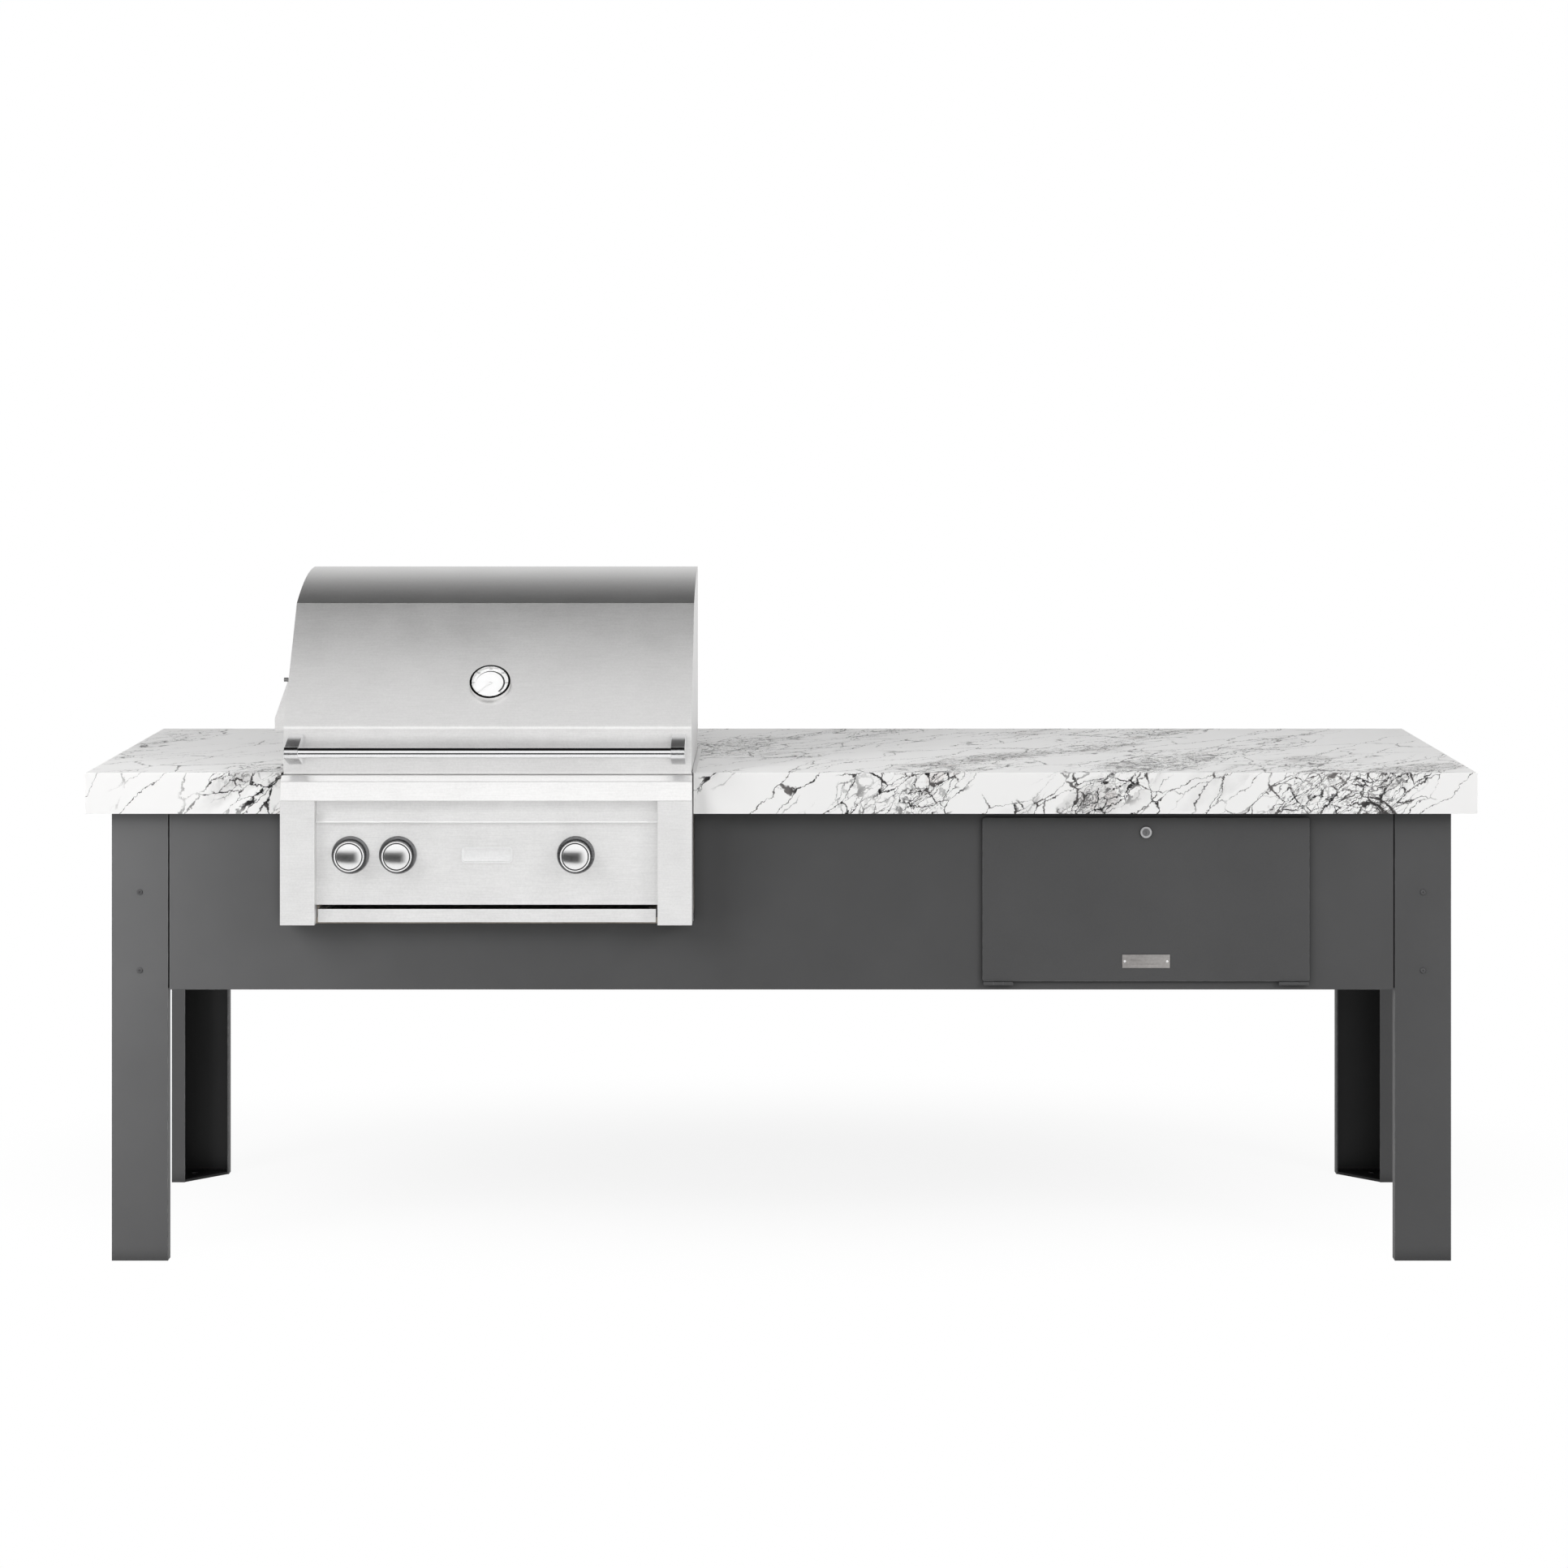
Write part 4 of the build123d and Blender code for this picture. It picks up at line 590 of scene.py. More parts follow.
def extruded(name, section, start, end, finish):
    """A closed bar along X with a section of (y, z) points, from start to end."""
    body = bmesh.new()
    rings = [[body.verts.new((across, along, up)) for along, up in section] for across in (start, end)]
    stitch(body, rings)
    for ring in rings:
        body.faces.new(ring)
    bmesh.ops.recalc_face_normals(body, faces=body.faces)
    return show(name, finished(name, body), finish)


face_top = ledge_top - slope_rise - ledge_nose * (math.cos(slope_tilt) - math.sin(face_tilt))
face_lean = (face_top - ledge_low[2]) * math.tan(face_tilt)
nose_y = ledge_low[1] + face_lean + ledge_nose * math.cos(face_tilt)
nose_z = face_top - ledge_nose * math.sin(face_tilt)
ledge_section = [(ledge_low[1], ledge_low[2])]
nose_steps = 6
for step in range(nose_steps + 1):
    angle = face_tilt + (math.pi / 2 - slope_tilt - face_tilt) * step / nose_steps
    ledge_section.append((nose_y - ledge_nose * math.cos(angle), nose_z + ledge_nose * math.sin(angle)))
slope_end = ledge_section[-1][0] + slope_rise / math.tan(slope_tilt)
ledge_section += [(slope_end, ledge_top), (ledge_high[1], ledge_top), (ledge_high[1], ledge_low[2])]
ledge = extruded("front_ledge_rolled", ledge_section, ledge_low[0], ledge_high[0], satin_steel)
ease(ledge, 0.0008, steps=3, angle=35)
lip_front = ledge_low[1] + lip_back
lip_rear = lip_front + lip_depth
lip_top = ledge_top + lip_height
lip_section = [(lip_front, ledge_top), (lip_front, lip_top), (lip_rear, lip_top), (lip_rear, ledge_top)]
rain_lip = extruded("front_ledge_lip", lip_section,
                    ledge_low[0] + lip_inset, ledge_high[0] - lip_inset, satin_steel)
ease(rain_lip, 0.0006)
fasten(rain_lip, "island")
fasten(ledge, "island", "front_ledge")

# Panel hem: the drip trim along the top of the control panel is the same stainless sheet. Its lower
# edge is rolled to a bead that stiffens it. The bead's near-white, mostly matt colour is a painted
# highlight.
panel_low, panel_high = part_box("control_panel")
hem_radius = 0.00125
hem_above = 0.15425
hem_inset = 0.001
hem_steps = 12
hem_section = []
for step in range(hem_steps):
    angle = 2 * math.pi * step / hem_steps
    hem_section.append((panel_low[1] + hem_radius * math.cos(angle),
                        panel_low[2] + hem_above + hem_radius * math.sin(angle)))
# Painted highlight: the bead is near white and mostly matt, so it reads as a bright line.
painted_highlight_hem = steel("painted_highlight_hem", grey(0.95), grey(0.99), 0.3, 0.4, 0.02, 0.3)
hem = extruded("panel_hem", hem_section, panel_low[0] + hem_inset, panel_high[0] - hem_inset, painted_highlight_hem)
ease(hem, 0.0001, steps=1, angle=40)
fasten(hem, "island")

# Counter flange: thin folded stainless angles along the firebox. They rest on the stone, cover the gap
# round the grill, and leave room for the rotisserie bracket on the left.
firebox_low, firebox_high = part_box("firebox")
counter_top = slab_high[2]
flange_thick = 0.0012
flange_width = 0.007
flange_leg = 0.012
flange_front = -0.428
bracket_front, bracket_rear = -0.126, -0.055
flange_top = counter_top + flange_thick
flange = bmesh.new()
for side, wall in ((-1, firebox_low[0]), (1, firebox_high[0])):
    inner = wall + side * flange_thick
    for front, across, low in ((firebox_low[1], (wall, inner), counter_top - flange_leg),
                               (flange_front, (inner, inner + side * flange_width), counter_top)):
        runs = [(front, firebox_high[1])]
        if side < 0:
            runs = [(front, bracket_front), (bracket_rear, firebox_high[1])]
        for start, end in runs:
            add_box(flange, (sum(across) / 2, (start + end) / 2, (low + flange_top) / 2),
                    (abs(across[1] - across[0]), end - start, flange_top - low))
counter_flange = show("counter_flange", finished("counter_flange", flange), face_steel)
ease(counter_flange, 0.0003)
fasten(counter_flange, "island")

# Badge: a small plate pressed from bright stainless and fixed to the control panel. A raised border runs
# round its bare middle.
badge_mesh = merged_mesh("badge_plate")
badge_border = 0.0026
badge_sink = 0.0013
pressed = bmesh.new()
pressed.from_mesh(badge_mesh)
badge_face = min(pressed.faces, key=lambda face: (face.calc_center_median().y, -face.calc_area()))
bmesh.ops.inset_region(pressed, faces=[badge_face], thickness=badge_border)
bmesh.ops.inset_region(pressed, faces=[badge_face], thickness=badge_sink, depth=-badge_sink)
pressed.to_mesh(badge_mesh)
pressed.free()
badge_steel = steel("bright_badge", grey(0.82), grey(0.93), 0.34, 0.4, 0.03, 0.7)
badge = show("badge_plate_pressed", badge_mesh, badge_steel)
ease(badge, 0.0005)
fasten(badge, "island", "badge_plate")

# Gas train: cast brass valves with turned stems, screwed into a brass pipe and hidden behind the
# control panel.
brass = steel("cast_brass", (0.5, 0.36, 0.14, 1), (0.7, 0.52, 0.24, 1), 0.28, 0.45)
dress(brass, "gas_valves", "gas_manifold",
      "valve_stem_outer_left", "valve_stem_inner_left", "valve_stem_right")

# Knobs: turned from stainless bar, with a bright ring pressed round a groove and a domed face. The groove
# is painted near black, a painted shade.
# Each sits on a grey bezel ring screwed to the panel.
turned_steel = steel("turned_stainless", grey(0.86), grey(0.93), 0.17, 0.22, 0.01)
ring_steel = steel("bright_ring", grey(0.9), grey(0.97), 0.14, 0.2, 0.01)
painted_shade_groove = steel("painted_shade_groove_steel", grey(0.05), grey(0.1), 0.4, 0.5, 0.02)
bezel_grey = steel("grey_bezel", (0.2, 0.2, 0.205, 1), (0.32, 0.32, 0.325, 1), 0.24, 0.36, 0.05)
knob_rim = 0.003
groove_width = 0.0014
groove_depth = 0.004
rim_over_cad = 0.0015
dome_rise = 0.005
dome_shown = 0.0033
dome_sink = dome_shown / 8
groove_slack = 0.0002
bead_steps = 24
to_front = (0, -1, 0)


def turned(name, profile, centre, axis, finish, steps=96):
    """A body turned about an axis. The profile gives radius and distance along, from pole to pole."""
    body = bmesh.new()
    rings = []
    for radius, along in profile:
        angles = [2 * math.pi * step / steps for step in range(steps if radius else 1)]
        rings.append([body.verts.new(round_point(radius, angle, along)) for angle in angles])
    stitch(body, rings)
    bmesh.ops.recalc_face_normals(body, faces=body.faces)
    body.transform(Matrix.Translation(centre) @ Vector(axis).to_track_quat("Z", "Y").to_matrix().to_4x4())
    return show(name, finished(name, body), finish)


def rod(radius, length):
    """Profile of a plain rod or disc."""
    return [(0, 0), (radius, 0), (radius, length), (0, length)]


def dome(radius, foot, rise, steps):
    """Profile points of a dome from its foot to its pole."""
    ball = (radius**2 + rise**2) / (2 * rise)
    points = []
    for step in range(steps):
        here = radius * (1 - step / steps)
        points.append((here, foot + rise - ball + math.sqrt(ball**2 - here**2)))
    return points + [(0, foot + rise)]


def joined(name, drafts, finish):
    """One piece made of several drafts, which are taken away."""
    body = bmesh.new()
    for draft in drafts:
        body.from_mesh(draft.data)
        bpy.data.objects.remove(draft)
    return show(name, finished(name, body), finish)


bezel_low, bezel_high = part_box("knob_bezels")
bezel_radius = (bezel_high[2] - bezel_low[2]) / 2
bezel_thick = bezel_high[1] - bezel_low[1]
bezel_edge = 0.0012
bezel_dish = 0.0008
bezels = []
knob_rings = []
for node in ("knob_outer_left", "knob_inner_left", "knob_right"):
    low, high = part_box(node)
    radius = (high[0] - low[0]) / 2
    length = high[1] - low[1] - dome_rise + rim_over_cad
    rim_inside = radius - knob_rim
    dome_edge = rim_inside - groove_width
    groove_floor = length - groove_depth
    ring_level = length - knob_rim / 2
    profile = [(0, 0), (radius, 0), (radius, ring_level), (rim_inside, ring_level),
               (rim_inside, groove_floor), (dome_edge, groove_floor)]
    profile += dome(dome_edge, length - dome_sink, dome_shown, steps=14)
    centre = Vector(((low[0] + high[0]) / 2, high[1], (low[2] + high[2]) / 2))
    knob = turned(node + "_turned", profile, centre, to_front, turned_steel)
    # The groove's faces get the near-black painted shade.
    knob.data.materials.append(painted_shade_groove)
    for face in knob.data.polygons:
        away = face.center - centre
        reach = math.hypot(away.x, away.z)
        in_groove = dome_edge - groove_slack < reach < rim_inside + groove_slack and -away.y < ring_level
        face.material_index = int(in_groove)
    ease(knob, 0.0004)
    fasten(knob, node, node)
    bead = []
    for step in range(bead_steps + 1):
        angle = 2 * math.pi * step / bead_steps - math.pi / 2
        bead.append((radius - knob_rim / 2 * (1 - math.cos(angle)),
                     ring_level + knob_rim / 2 * math.sin(angle)))
    ring = turned(node + "_ring", bead, centre, to_front, ring_steel)
    ring.data.shade_smooth()
    fasten(ring, node)
    knob_rings.append(ring)
    dish = bezel_thick - bezel_dish
    profile = [(0, 0), (bezel_radius, 0), (bezel_radius, bezel_thick - bezel_edge),
               (bezel_radius - bezel_edge, bezel_thick), (radius, dish), (0, dish)]
    bezel_seat = Vector((centre.x, bezel_high[1], centre.z))
    bezels.append(turned("bezel_draft", profile, bezel_seat, to_front, bezel_grey))
bezel_rings = joined("knob_bezels_turned", bezels, bezel_grey)
ease(bezel_rings, 0.0003)
fasten(bezel_rings, "island", "knob_bezels")

# Drip tray: a tub folded from the same blasted stainless sheet behind a plain front. It slides out on
# its runners below the control panel.
eased("drip_tray", 0.0005, "drip_tray", "satin_stainless", face_steel)

# Hood: one stainless sheet folded at the bend and the crease and rolled over the top, with flat
# ends welded in and a thin inner liner.
for node, finish in (("hood_shell", satin_steel), ("hood_ends", face_steel)):
    hood = show(node + "_smooth", merged_mesh(node), finish)
    hood.data.shade_smooth()
    hood.data.set_sharp_from_angle(angle=math.radians(20))
    true_flats = hood.modifiers.new("true_flats", "WEIGHTED_NORMAL")
    true_flats.weight = 100
    true_flats.keep_sharp = True
    settle(hood)
    fasten(hood, "hood", node)
dress(hot_steel, "hood_liner", "hood_hinge_pins")

# Handle: a chromed bar through two cast posts that are bolted to the hood from inside. Each post is
# a sleeve round the bar on an arm that swells to a broad foot.
chrome = steel("polished_chrome", (0.82, 0.82, 0.83, 1), (0.92, 0.92, 0.93, 1), 0.05, 0.1, 0.02)
cast_chrome = steel("cast_chrome", (0.72, 0.72, 0.73, 1), (0.84, 0.84, 0.85, 1), 0.2, 0.26, 0.02)
low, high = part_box("handle_bar")
bar_radius = (high[2] - low[2]) / 2
bar_length = high[0] - low[0]
bar_y = (low[1] + high[1]) / 2
bar_z = (low[2] + high[2]) / 2
bar_end = Vector((low[0], bar_y, bar_z))
bar = turned("handle_bar_turned", rod(bar_radius, bar_length), bar_end, (1, 0, 0), chrome)
ease(bar, 0.0012, steps=3)
fasten(bar, "hood", "handle_bar")

post_low, post_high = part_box("handle_posts")
sleeve_radius = bar_y - post_low[1]
bore_gap = 0.0002
bore_radius = bar_radius + bore_gap
post_width = 0.026
post_foot = (post_high[2] - post_low[2]) / 2
post_neck = 0.0095
post_swell = 1.2
arm_steps = 14
arm = []
for step in range(arm_steps + 1):
    share = step / arm_steps
    arm.append((post_high[1] + (bar_y - post_high[1]) * share,
                post_foot - (post_foot - post_neck) * share**post_swell))
arm_section = [(along, bar_z + half) for along, half in arm]
arm_section += [(along, bar_z - half) for along, half in reversed(arm)]
sleeve = [(bore_radius, 0), (sleeve_radius, 0), (sleeve_radius, post_width),
          (bore_radius, post_width), (bore_radius, 0)]
post_drafts = []
for start in (post_low[0], post_high[0] - post_width):
    post_drafts.append(extruded("arm_draft", arm_section, start, start + post_width, chrome))
    post_drafts.append(turned("sleeve_draft", sleeve, Vector((start, bar_y, bar_z)), (1, 0, 0), chrome))
posts = joined("handle_posts_cast", post_drafts, cast_chrome)
ease(posts, 0.0008)
fasten(posts, "hood", "handle_posts")

# Thermometer: a turned satin case with a dark lip, set on the hood's slanted face, with a probe
# that reaches through it. Under a flat glass are a white enamelled dial, its printed scale and a
# pale needle on its pin.
slant = Vector((0, -0.218, 0.1865)).normalized()
lens_low, lens_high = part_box("gauge_lens")
lens_radius = (lens_high[0] - lens_low[0]) / 2
lens_thickness = 0.0015
dial_depth = 0.0053
needle_pin_radius = 0.001
needle_pin_top = 0.006
case_height = 0.009
case_radius = 0.0383
lip_width = 0.0016
lip_edge = 0.0006
lip_fall = 0.0012
lip_share = 0.75
probe_radius = 0.005
probe_length = 0.045
lens_centre = (Vector(lens_low) + Vector(lens_high)) / 2
case_foot = lens_centre + slant * (lens_thickness / 2 - case_height)
case_wall = case_height - dial_depth
case = turned("gauge_case_turned", [
    (0, -probe_length), (probe_radius, -probe_length), (probe_radius, 0), (case_radius, 0),
    (case_radius, case_height - lip_edge), (case_radius - lip_edge, case_height),
    (case_radius - lip_width, case_height), (lens_radius, case_height - lip_fall), (lens_radius, case_wall),
    (needle_pin_radius, case_wall), (needle_pin_radius, needle_pin_top), (0, needle_pin_top)],
    case_foot, slant, satin_steel)
lip_black = steel("black_gauge_lip", grey(0.03), grey(0.06), 0.25, 0.35, 0.02)
case.data.materials.append(lip_black)
for face in case.data.polygons:
    out_along = (face.center - case_foot).dot(slant)
    face.material_index = int(out_along > case_height - lip_fall * lip_share)
ease(case, 0.0002)
fasten(case, "hood", "gauge_case")


def enamel(name, dark, light, scale, roughness):
    """Enamel or printing ink between two greys."""
    finish, shader, place = new_finish(name, Roughness=roughness)
    feed(shader, Base_Color=mixed(cloudy(place, scale), grey(dark), grey(light)))
    return finish


dial_white = enamel("white_dial", 0.94, 0.97, 400.0, 0.35)
print_grey = enamel("grey_dial_print", 0.24, 0.36, 900.0, 0.5)
black_print_and_painted_reflection = enamel("black_dial_print_and_painted_reflection", 0.012, 0.03, 900.0, 0.5)
dial_sheet = 0.0001
dial_place = case_foot + slant * case_wall
dial_turn = Matrix.Translation(dial_place) @ Matrix.Rotation(math.atan2(-slant.y, slant.z), 4, "X")
dial = turned("gauge_dial", rod(lens_radius, dial_sheet), dial_place, slant, dial_white)
fasten(dial, "hood")

# Dial marks: a black arc, a painted reflection, that swells from nothing at the cool end to the hot end,
# with printed ticks and plain numbers outside it, all laid on the enamel.
ink_depth = 0.00006
arc_radius = 0.0262
arc_start = 175.0
arc_end = -52.0
arc_thick = 0.0032
arc_thin = 0.00008
arc_full = 0.6
arc_round = 0.03
arc_steps = 72
# Painted reflection: the black arc stands in for a dark reflection in the gauge, drawn on the dial.
arc = bmesh.new()
sides = []
for step in range(arc_steps + 1):
    share = step / arc_steps
    angle = math.radians(arc_start + share * (arc_end - arc_start))
    end_round = math.sqrt(max(0.0, 1 - (max(0.0, share - 1 + arc_round) / arc_round)**2))
    half = max(arc_thin, arc_thick * min(1.0, share / arc_full) * end_round) / 2
    sides.append([arc.verts.new(round_point(arc_radius + out, angle, up))
                  for out, up in ((-half, 0), (half, 0), (half, ink_depth), (-half, ink_depth))])
stitch(arc, sides)
arc.faces.new(sides[0])
arc.faces.new(sides[-1])
bmesh.ops.recalc_face_normals(arc, faces=arc.faces)
arc.transform(dial_turn @ Matrix.Translation((0, 0, dial_sheet)))
painted_reflection_arc = show("gauge_arc", finished("gauge_arc", arc), black_print_and_painted_reflection)
fasten(painted_reflection_arc, "hood")

tick_count = 31
tick_radius = 0.0284
scale_start = 225.0
scale_sweep = 270.0
tick_size = (0.00025, 0.0016, ink_depth)
print_level = dial_sheet + ink_depth / 2
marks = bmesh.new()
for number in range(tick_count):
    angle = math.radians(scale_start - number * scale_sweep / (tick_count - 1))
    turn = Matrix.Rotation(angle - math.pi / 2, 4, "Z")
    add_box(marks, round_point(tick_radius, angle, print_level), tick_size, turn)
marks.transform(dial_turn)
ticks = show("gauge_ticks", finished("gauge_ticks", marks), print_grey)
fasten(ticks, "hood")

numeral_height = 0.0042
numeral_radius = 0.0315
numerals = range(100, 800, 100)
for count, value in enumerate(numerals):
    angle = math.radians(scale_start - count * scale_sweep / (len(numerals) - 1))
    words = bpy.data.curves.new("numeral", "FONT")
    words.body = str(value)
    words.size = numeral_height
    words.align_x = "CENTER"
    words.align_y = "CENTER"
    words.extrude = ink_depth / 2
    draft = bpy.data.objects.new("numeral", words)
    bpy.context.scene.collection.objects.link(draft)
    lettered = bpy.data.meshes.new_from_object(draft.evaluated_get(bpy.context.evaluated_depsgraph_get()))
    bpy.data.objects.remove(draft)
    lettered.transform(dial_turn @ Matrix.Translation(round_point(numeral_radius, angle, print_level)))
    numeral = show(f"gauge_number_{value}", lettered, black_print_and_painted_reflection)
    fasten(numeral, "hood")

# Needle and glass: a pressed pale needle that turns on its pin, behind a flat disc of clear glass.
# The glass lets lamp light through to the dial.
dress(dial_white, "gauge_needle")
glass, shader, place = new_finish("clear_glass", Transmission_Weight=1.0, IOR=1.45)
feed(shader, Roughness=ranged(cloudy(place, 60.0), (0.3, 0.7), (0.01, 0.03)))
tree = place.id_data
light_path = add_node(tree, "LightPath").outputs
lit_through = worked("MAXIMUM", light_path["Is Shadow Ray"], light_path["Is Diffuse Ray"])
open_air = add_node(tree, "BsdfTransparent")
pane = add_node(tree, "MixShader", {0: lit_through, 1: shader.outputs[0], 2: open_air.outputs[0]})
tree.links.new(pane.outputs[0], tree.nodes["Material Output"].inputs["Surface"])
dress(glass, "gauge_lens")

# Rotisserie bracket: folded stainless, screwed to the firebox's left side, with a grey thumb screw
# at its top that holds the motor.
eased("rotisserie_bracket", 0.0004, "island", "satin_stainless", satin_steel)

thumb_radius = 0.004
thumb_length = 0.0085
thumb_seat = Vector((-0.965, -0.1205, 1.0624))
thumb_steel = steel("grey_thumb_screw", grey(0.34), grey(0.46), 0.3, 0.45, 0.05)
thumb_profile = rod(thumb_radius, thumb_length)
thumb_screw = turned("bracket_thumb_screw", thumb_profile, thumb_seat, (1, 0, 0), thumb_steel, steps=32)
ease(thumb_screw, 0.0006)
fasten(thumb_screw, "island")

# Door: a shallow pan of charcoal coated sheet with rolled edges. It drops down on two coated butt
# hinges under its lower edge.
eased("access_door", 0.0007, "door", "charcoal_powder_coat", charcoal_coat)
for node, body in (("hinge_leaves_fixed", "island"), ("hinge_leaves_moving", "door")):
    eased(node, 0.0003, body, "charcoal_powder_coat", charcoal_coat)
dress(black_steel, "door_hinge_pins")

# Lock: a zinc-plated cam lock set through the door near its upper edge. A duller plug turns in its
# barrel.
zinc = steel("zinc_plate", (0.6, 0.6, 0.61, 1), (0.74, 0.74, 0.75, 1), 0.3, 0.42, 0.05, 0.6)
plug_dark = steel("dark_lock_plug", (0.2, 0.2, 0.205, 1), (0.3, 0.3, 0.305, 1), 0.3, 0.45, 0.05, 0.6)
eased("lock_barrel", 0.0006, "door", "satin_stainless", zinc)
eased("lock_plug", 0.0002, "lock", "satin_stainless", plug_dark)

# Plate: a bare warm grey metal plate low on the door, held by two pale dome-headed rivets near its
# ends.
plate_metal = steel("warm_plate", (0.44, 0.42, 0.41, 1), (0.58, 0.56, 0.545, 1), 0.35, 0.5, 0.1)
rivet_metal = steel("pale_rivet", grey(0.94), grey(0.98), 0.25, 0.35, 0.02, 0.15)
eased("nameplate", 0.0003, "door", "satin_stainless", plate_metal)
rivet_radius = 0.0021
rivet_rise = 0.0008
rivet_spacing = 0.079
plate_low, plate_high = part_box("nameplate")
plate_middle = (Vector(plate_low) + Vector(plate_high)) / 2
rivet_profile = [(0, 0)] + dome(rivet_radius, 0, rivet_rise, steps=5)
rivet_draft = turned("rivet_draft", rivet_profile, Vector(), (0, 0, 1), rivet_metal, steps=20)
rivet_mesh = rivet_draft.data
bpy.data.objects.remove(rivet_draft)
rivet_places = []
for side in (-1, 1):
    seat = (plate_middle.x + side * rivet_spacing / 2, plate_low[1], plate_middle.z)
    rivet_places.append((seat, to_front))
rivets = copies_on("plate_rivets", rivet_mesh, rivet_places, rivet_metal)
fasten(rivets, "door")

# Stage: a white floor that keeps the shadows, a white backdrop, a softbox from each side, a long
# overhead panel, cards that show only in the steel, a small lamp on the coat at each end, and a
# level camera shifted down, as in the photograph.
floor_stretch = (0.55, 1.0, 1.0)
floor_shift = (0, -0.45, 0)
floor_reach = 40.0
floor_front = -2.25
floor_white, shader, place = new_finish("floor_white", Base_Color=grey(0.9), Roughness=0.9)
tree = place.id_data
inputs = {0: place, 1: floor_stretch, 2: floor_shift}
spread = add_node(tree, "VectorMath", inputs, operation="MULTIPLY_ADD").outputs["Vector"]
away = add_node(tree, "VectorMath", {0: spread}, operation="LENGTH").outputs["Value"]
fade = ranged(away, (0.15, 1.1), (0.86, 1), "SMOOTHSTEP")
light_path = add_node(tree, "LightPath").outputs
looked_at = worked("MAXIMUM", light_path["Is Camera Ray"], light_path["Is Glossy Ray"])
seen = worked("MULTIPLY", fade, looked_at)
white = add_node(tree, "Emission", {"Color": grey(1)})
floor_shader = add_node(tree, "MixShader", {0: seen, 1: shader.outputs[0], 2: white.outputs[0]})
tree.links.new(floor_shader.outputs[0], tree.nodes["Material Output"].inputs["Surface"])
floor_mesh = bpy.data.meshes.new("floor")
floor_mesh.from_pydata([(-floor_reach, floor_front, 0), (floor_reach, floor_front, 0),
                        (floor_reach, floor_reach, 0), (-floor_reach, floor_reach, 0)], [], [(0, 1, 2, 3)])
floor = show("floor", floor_mesh, floor_white)

world = bpy.data.worlds.new("studio")
bpy.context.scene.world = world
world.use_nodes = True
tree = world.node_tree
tree.nodes.clear()
direction = add_node(tree, "TexCoord").outputs["Generated"]
parts = add_node(tree, "SeparateXYZ", {0: direction}).outputs
forward = worked("MULTIPLY", parts["Y"], -1.0)
over = worked("DEGREES", worked("ARCTAN2", parts["Z"], forward))
aside = worked("DEGREES", worked("ARCTAN2", parts["X"], forward))

# The light tent that the steel mirrors: its level by degrees, from below the camera to over and behind.
lowest_turn, highest_turn = -45.0, 180.0
ramp = add_node(tree, "ValToRGB", {0: ranged(over, (lowest_turn, highest_turn))})
tent = [(-45, 0.9), (0, 1.1), (25, 1.1), (48, 1.0), (57, 0.25), (64, 0.05), (75, 0.006), (125, 0.006),
        (140, 0.16), (152, 0.6), (162, 1.05), (180, 1.05)]
for number, (degrees, level) in enumerate(tent):
    at = (degrees - lowest_turn) / (highest_turn - lowest_turn)
    stop = ramp.color_ramp.elements[number] if number < 2 else ramp.color_ramp.elements.new(at)
    stop.position = at
    stop.color = grey(level)


def between(value, start, full, fall, end):
    """A share that rises from start to full and falls from fall to end."""
    rise = ranged(value, (start, full))
    return worked("MULTIPLY", rise, ranged(value, (fall, end), (1, 0)))


camera_side = worked("MULTIPLY", between(over, -32, -28, 1, 9), between(aside, -65, -50, 7, 22))
tent_colour = mixed(camera_side, ramp.outputs["Color"], grey(0.06))
light_path = add_node(tree, "LightPath").outputs
reflected = add_node(tree, "Background", {"Color": tent_colour})
ambient = add_node(tree, "Background", {"Color": grey(0.3)})
backdrop = add_node(tree, "Background", {"Color": grey(1), "Strength": 1.0})
glossy = worked("MAXIMUM", light_path["Is Glossy Ray"], light_path["Is Transmission Ray"])
lit = add_node(tree, "MixShader", {0: glossy, 1: ambient.outputs[0], 2: reflected.outputs[0]})
shown = add_node(tree, "MixShader", {
    0: light_path["Is Camera Ray"], 1: lit.outputs[0], 2: backdrop.outputs[0]})
add_node(tree, "OutputWorld", {"Surface": shown.outputs[0]})


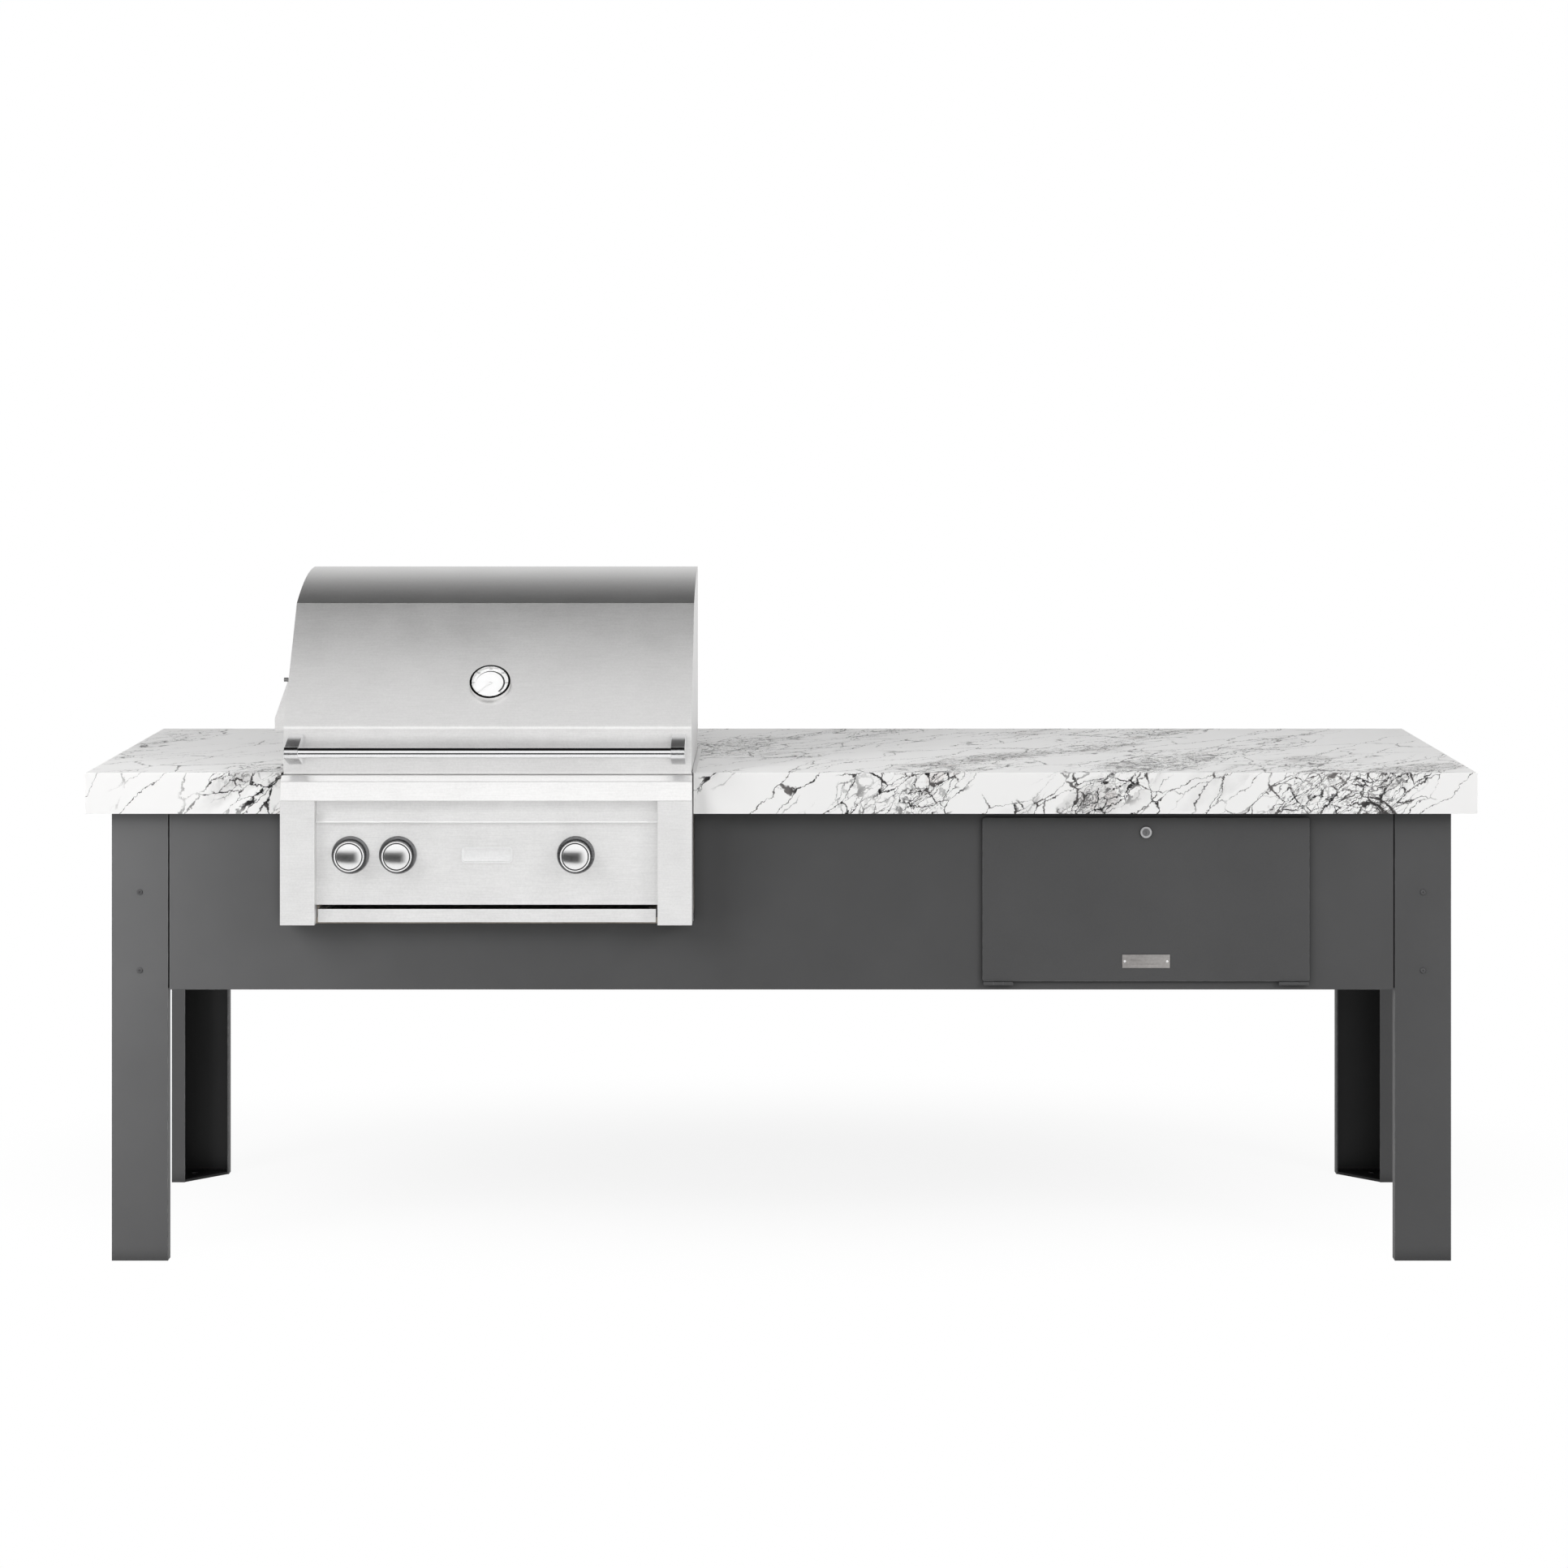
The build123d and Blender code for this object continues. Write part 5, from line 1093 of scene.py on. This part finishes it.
def softbox(name, place, aim, size, power, shown_in=(), mirrored=True):
    """A rectangular lamp turned to a point. It gives matt light to all, or to the pieces that it is shown
    in, where it can be mirrored too."""
    lamp = bpy.data.lights.new(name, "AREA")
    lamp.shape = "RECTANGLE"
    lamp.size, lamp.size_y = size
    lamp.energy = power
    held = bpy.data.objects.new(name, lamp)
    held.location = place
    held.rotation_euler = (Vector(aim) - Vector(place)).to_track_quat("-Z", "Y").to_euler()
    held.visible_camera = False
    held.visible_glossy = mirrored and len(shown_in) > 0
    bpy.context.scene.collection.objects.link(held)
    if shown_in:
        lit = bpy.data.collections.new(name + "_lights")
        for piece in shown_in:
            lit.objects.link(piece)
        held.light_linking.receiver_collection = lit


softbox("left_softbox", (-3.1, -2.7, 2.7), (-0.6, -0.4, 0.6), (1.6, 1.8), 82)
softbox("right_softbox", (3.8, -3.3, 2.9), (0.6, -0.4, 0.6), (1.6, 1.8), 98)
softbox("overhead_panel", (0, -1.4, 3.2), (0, -0.4, 0), (4.4, 1.2), 20)
flat_steel = [bpy.data.objects[name] for name in (
    "hood_shell_smooth", "hood_ends_smooth", "pilaster_left_eased", "pilaster_right_eased",
    "control_panel_eased", "drip_tray_eased", "rotisserie_bracket_eased")]
flat_steel += [ledge, badge, hem, dial] + knob_rings
coated = [piece for piece in bpy.data.objects
          if piece.type == "MESH" and charcoal_coat in list(piece.data.materials)]
softbox("coat_fill_left", (-1.9, -1.1, 0.8), (-1.2, -0.4, 0.55), (0.5, 0.9), 17.5, coated, mirrored=False)
softbox("coat_fill_right", (2.3, -1.3, 0.9), (1.2, -0.4, 0.55), (0.5, 0.9), 7, coated, mirrored=False)
softbox("front_card", (-0.7, -3.6, 0.75), (-0.7, 0, 0.75), (4.5, 1.3), 15, flat_steel)
softbox("hood_card", (-0.55, -0.74, 2.0), (-0.55, -0.74, 1.0), (3.2, 0.46), 5.1,
        [flat_steel[0], dial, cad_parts["gauge_needle"]])
softbox("ledge_card", (-0.55, -0.33, 2.0), (-0.55, -0.33, 1.0), (3.2, 0.86), 11.0, [ledge])

image_size = 1932
principal_point = (978, 457)
eye = bpy.data.cameras.new("camera")
eye.sensor_width = 36.0
eye.lens = 86.0
eye.shift_x = (image_size / 2 - principal_point[0]) / image_size
eye.shift_y = (principal_point[1] - image_size / 2) / image_size
camera = bpy.data.objects.new("camera", eye)
camera.location = (0.023, -7.382, 1.661)
camera.rotation_euler = (math.radians(90), 0, 0)
bpy.context.scene.collection.objects.link(camera)
bpy.context.scene.camera = camera
bpy.context.scene.view_settings.view_transform = "Standard"
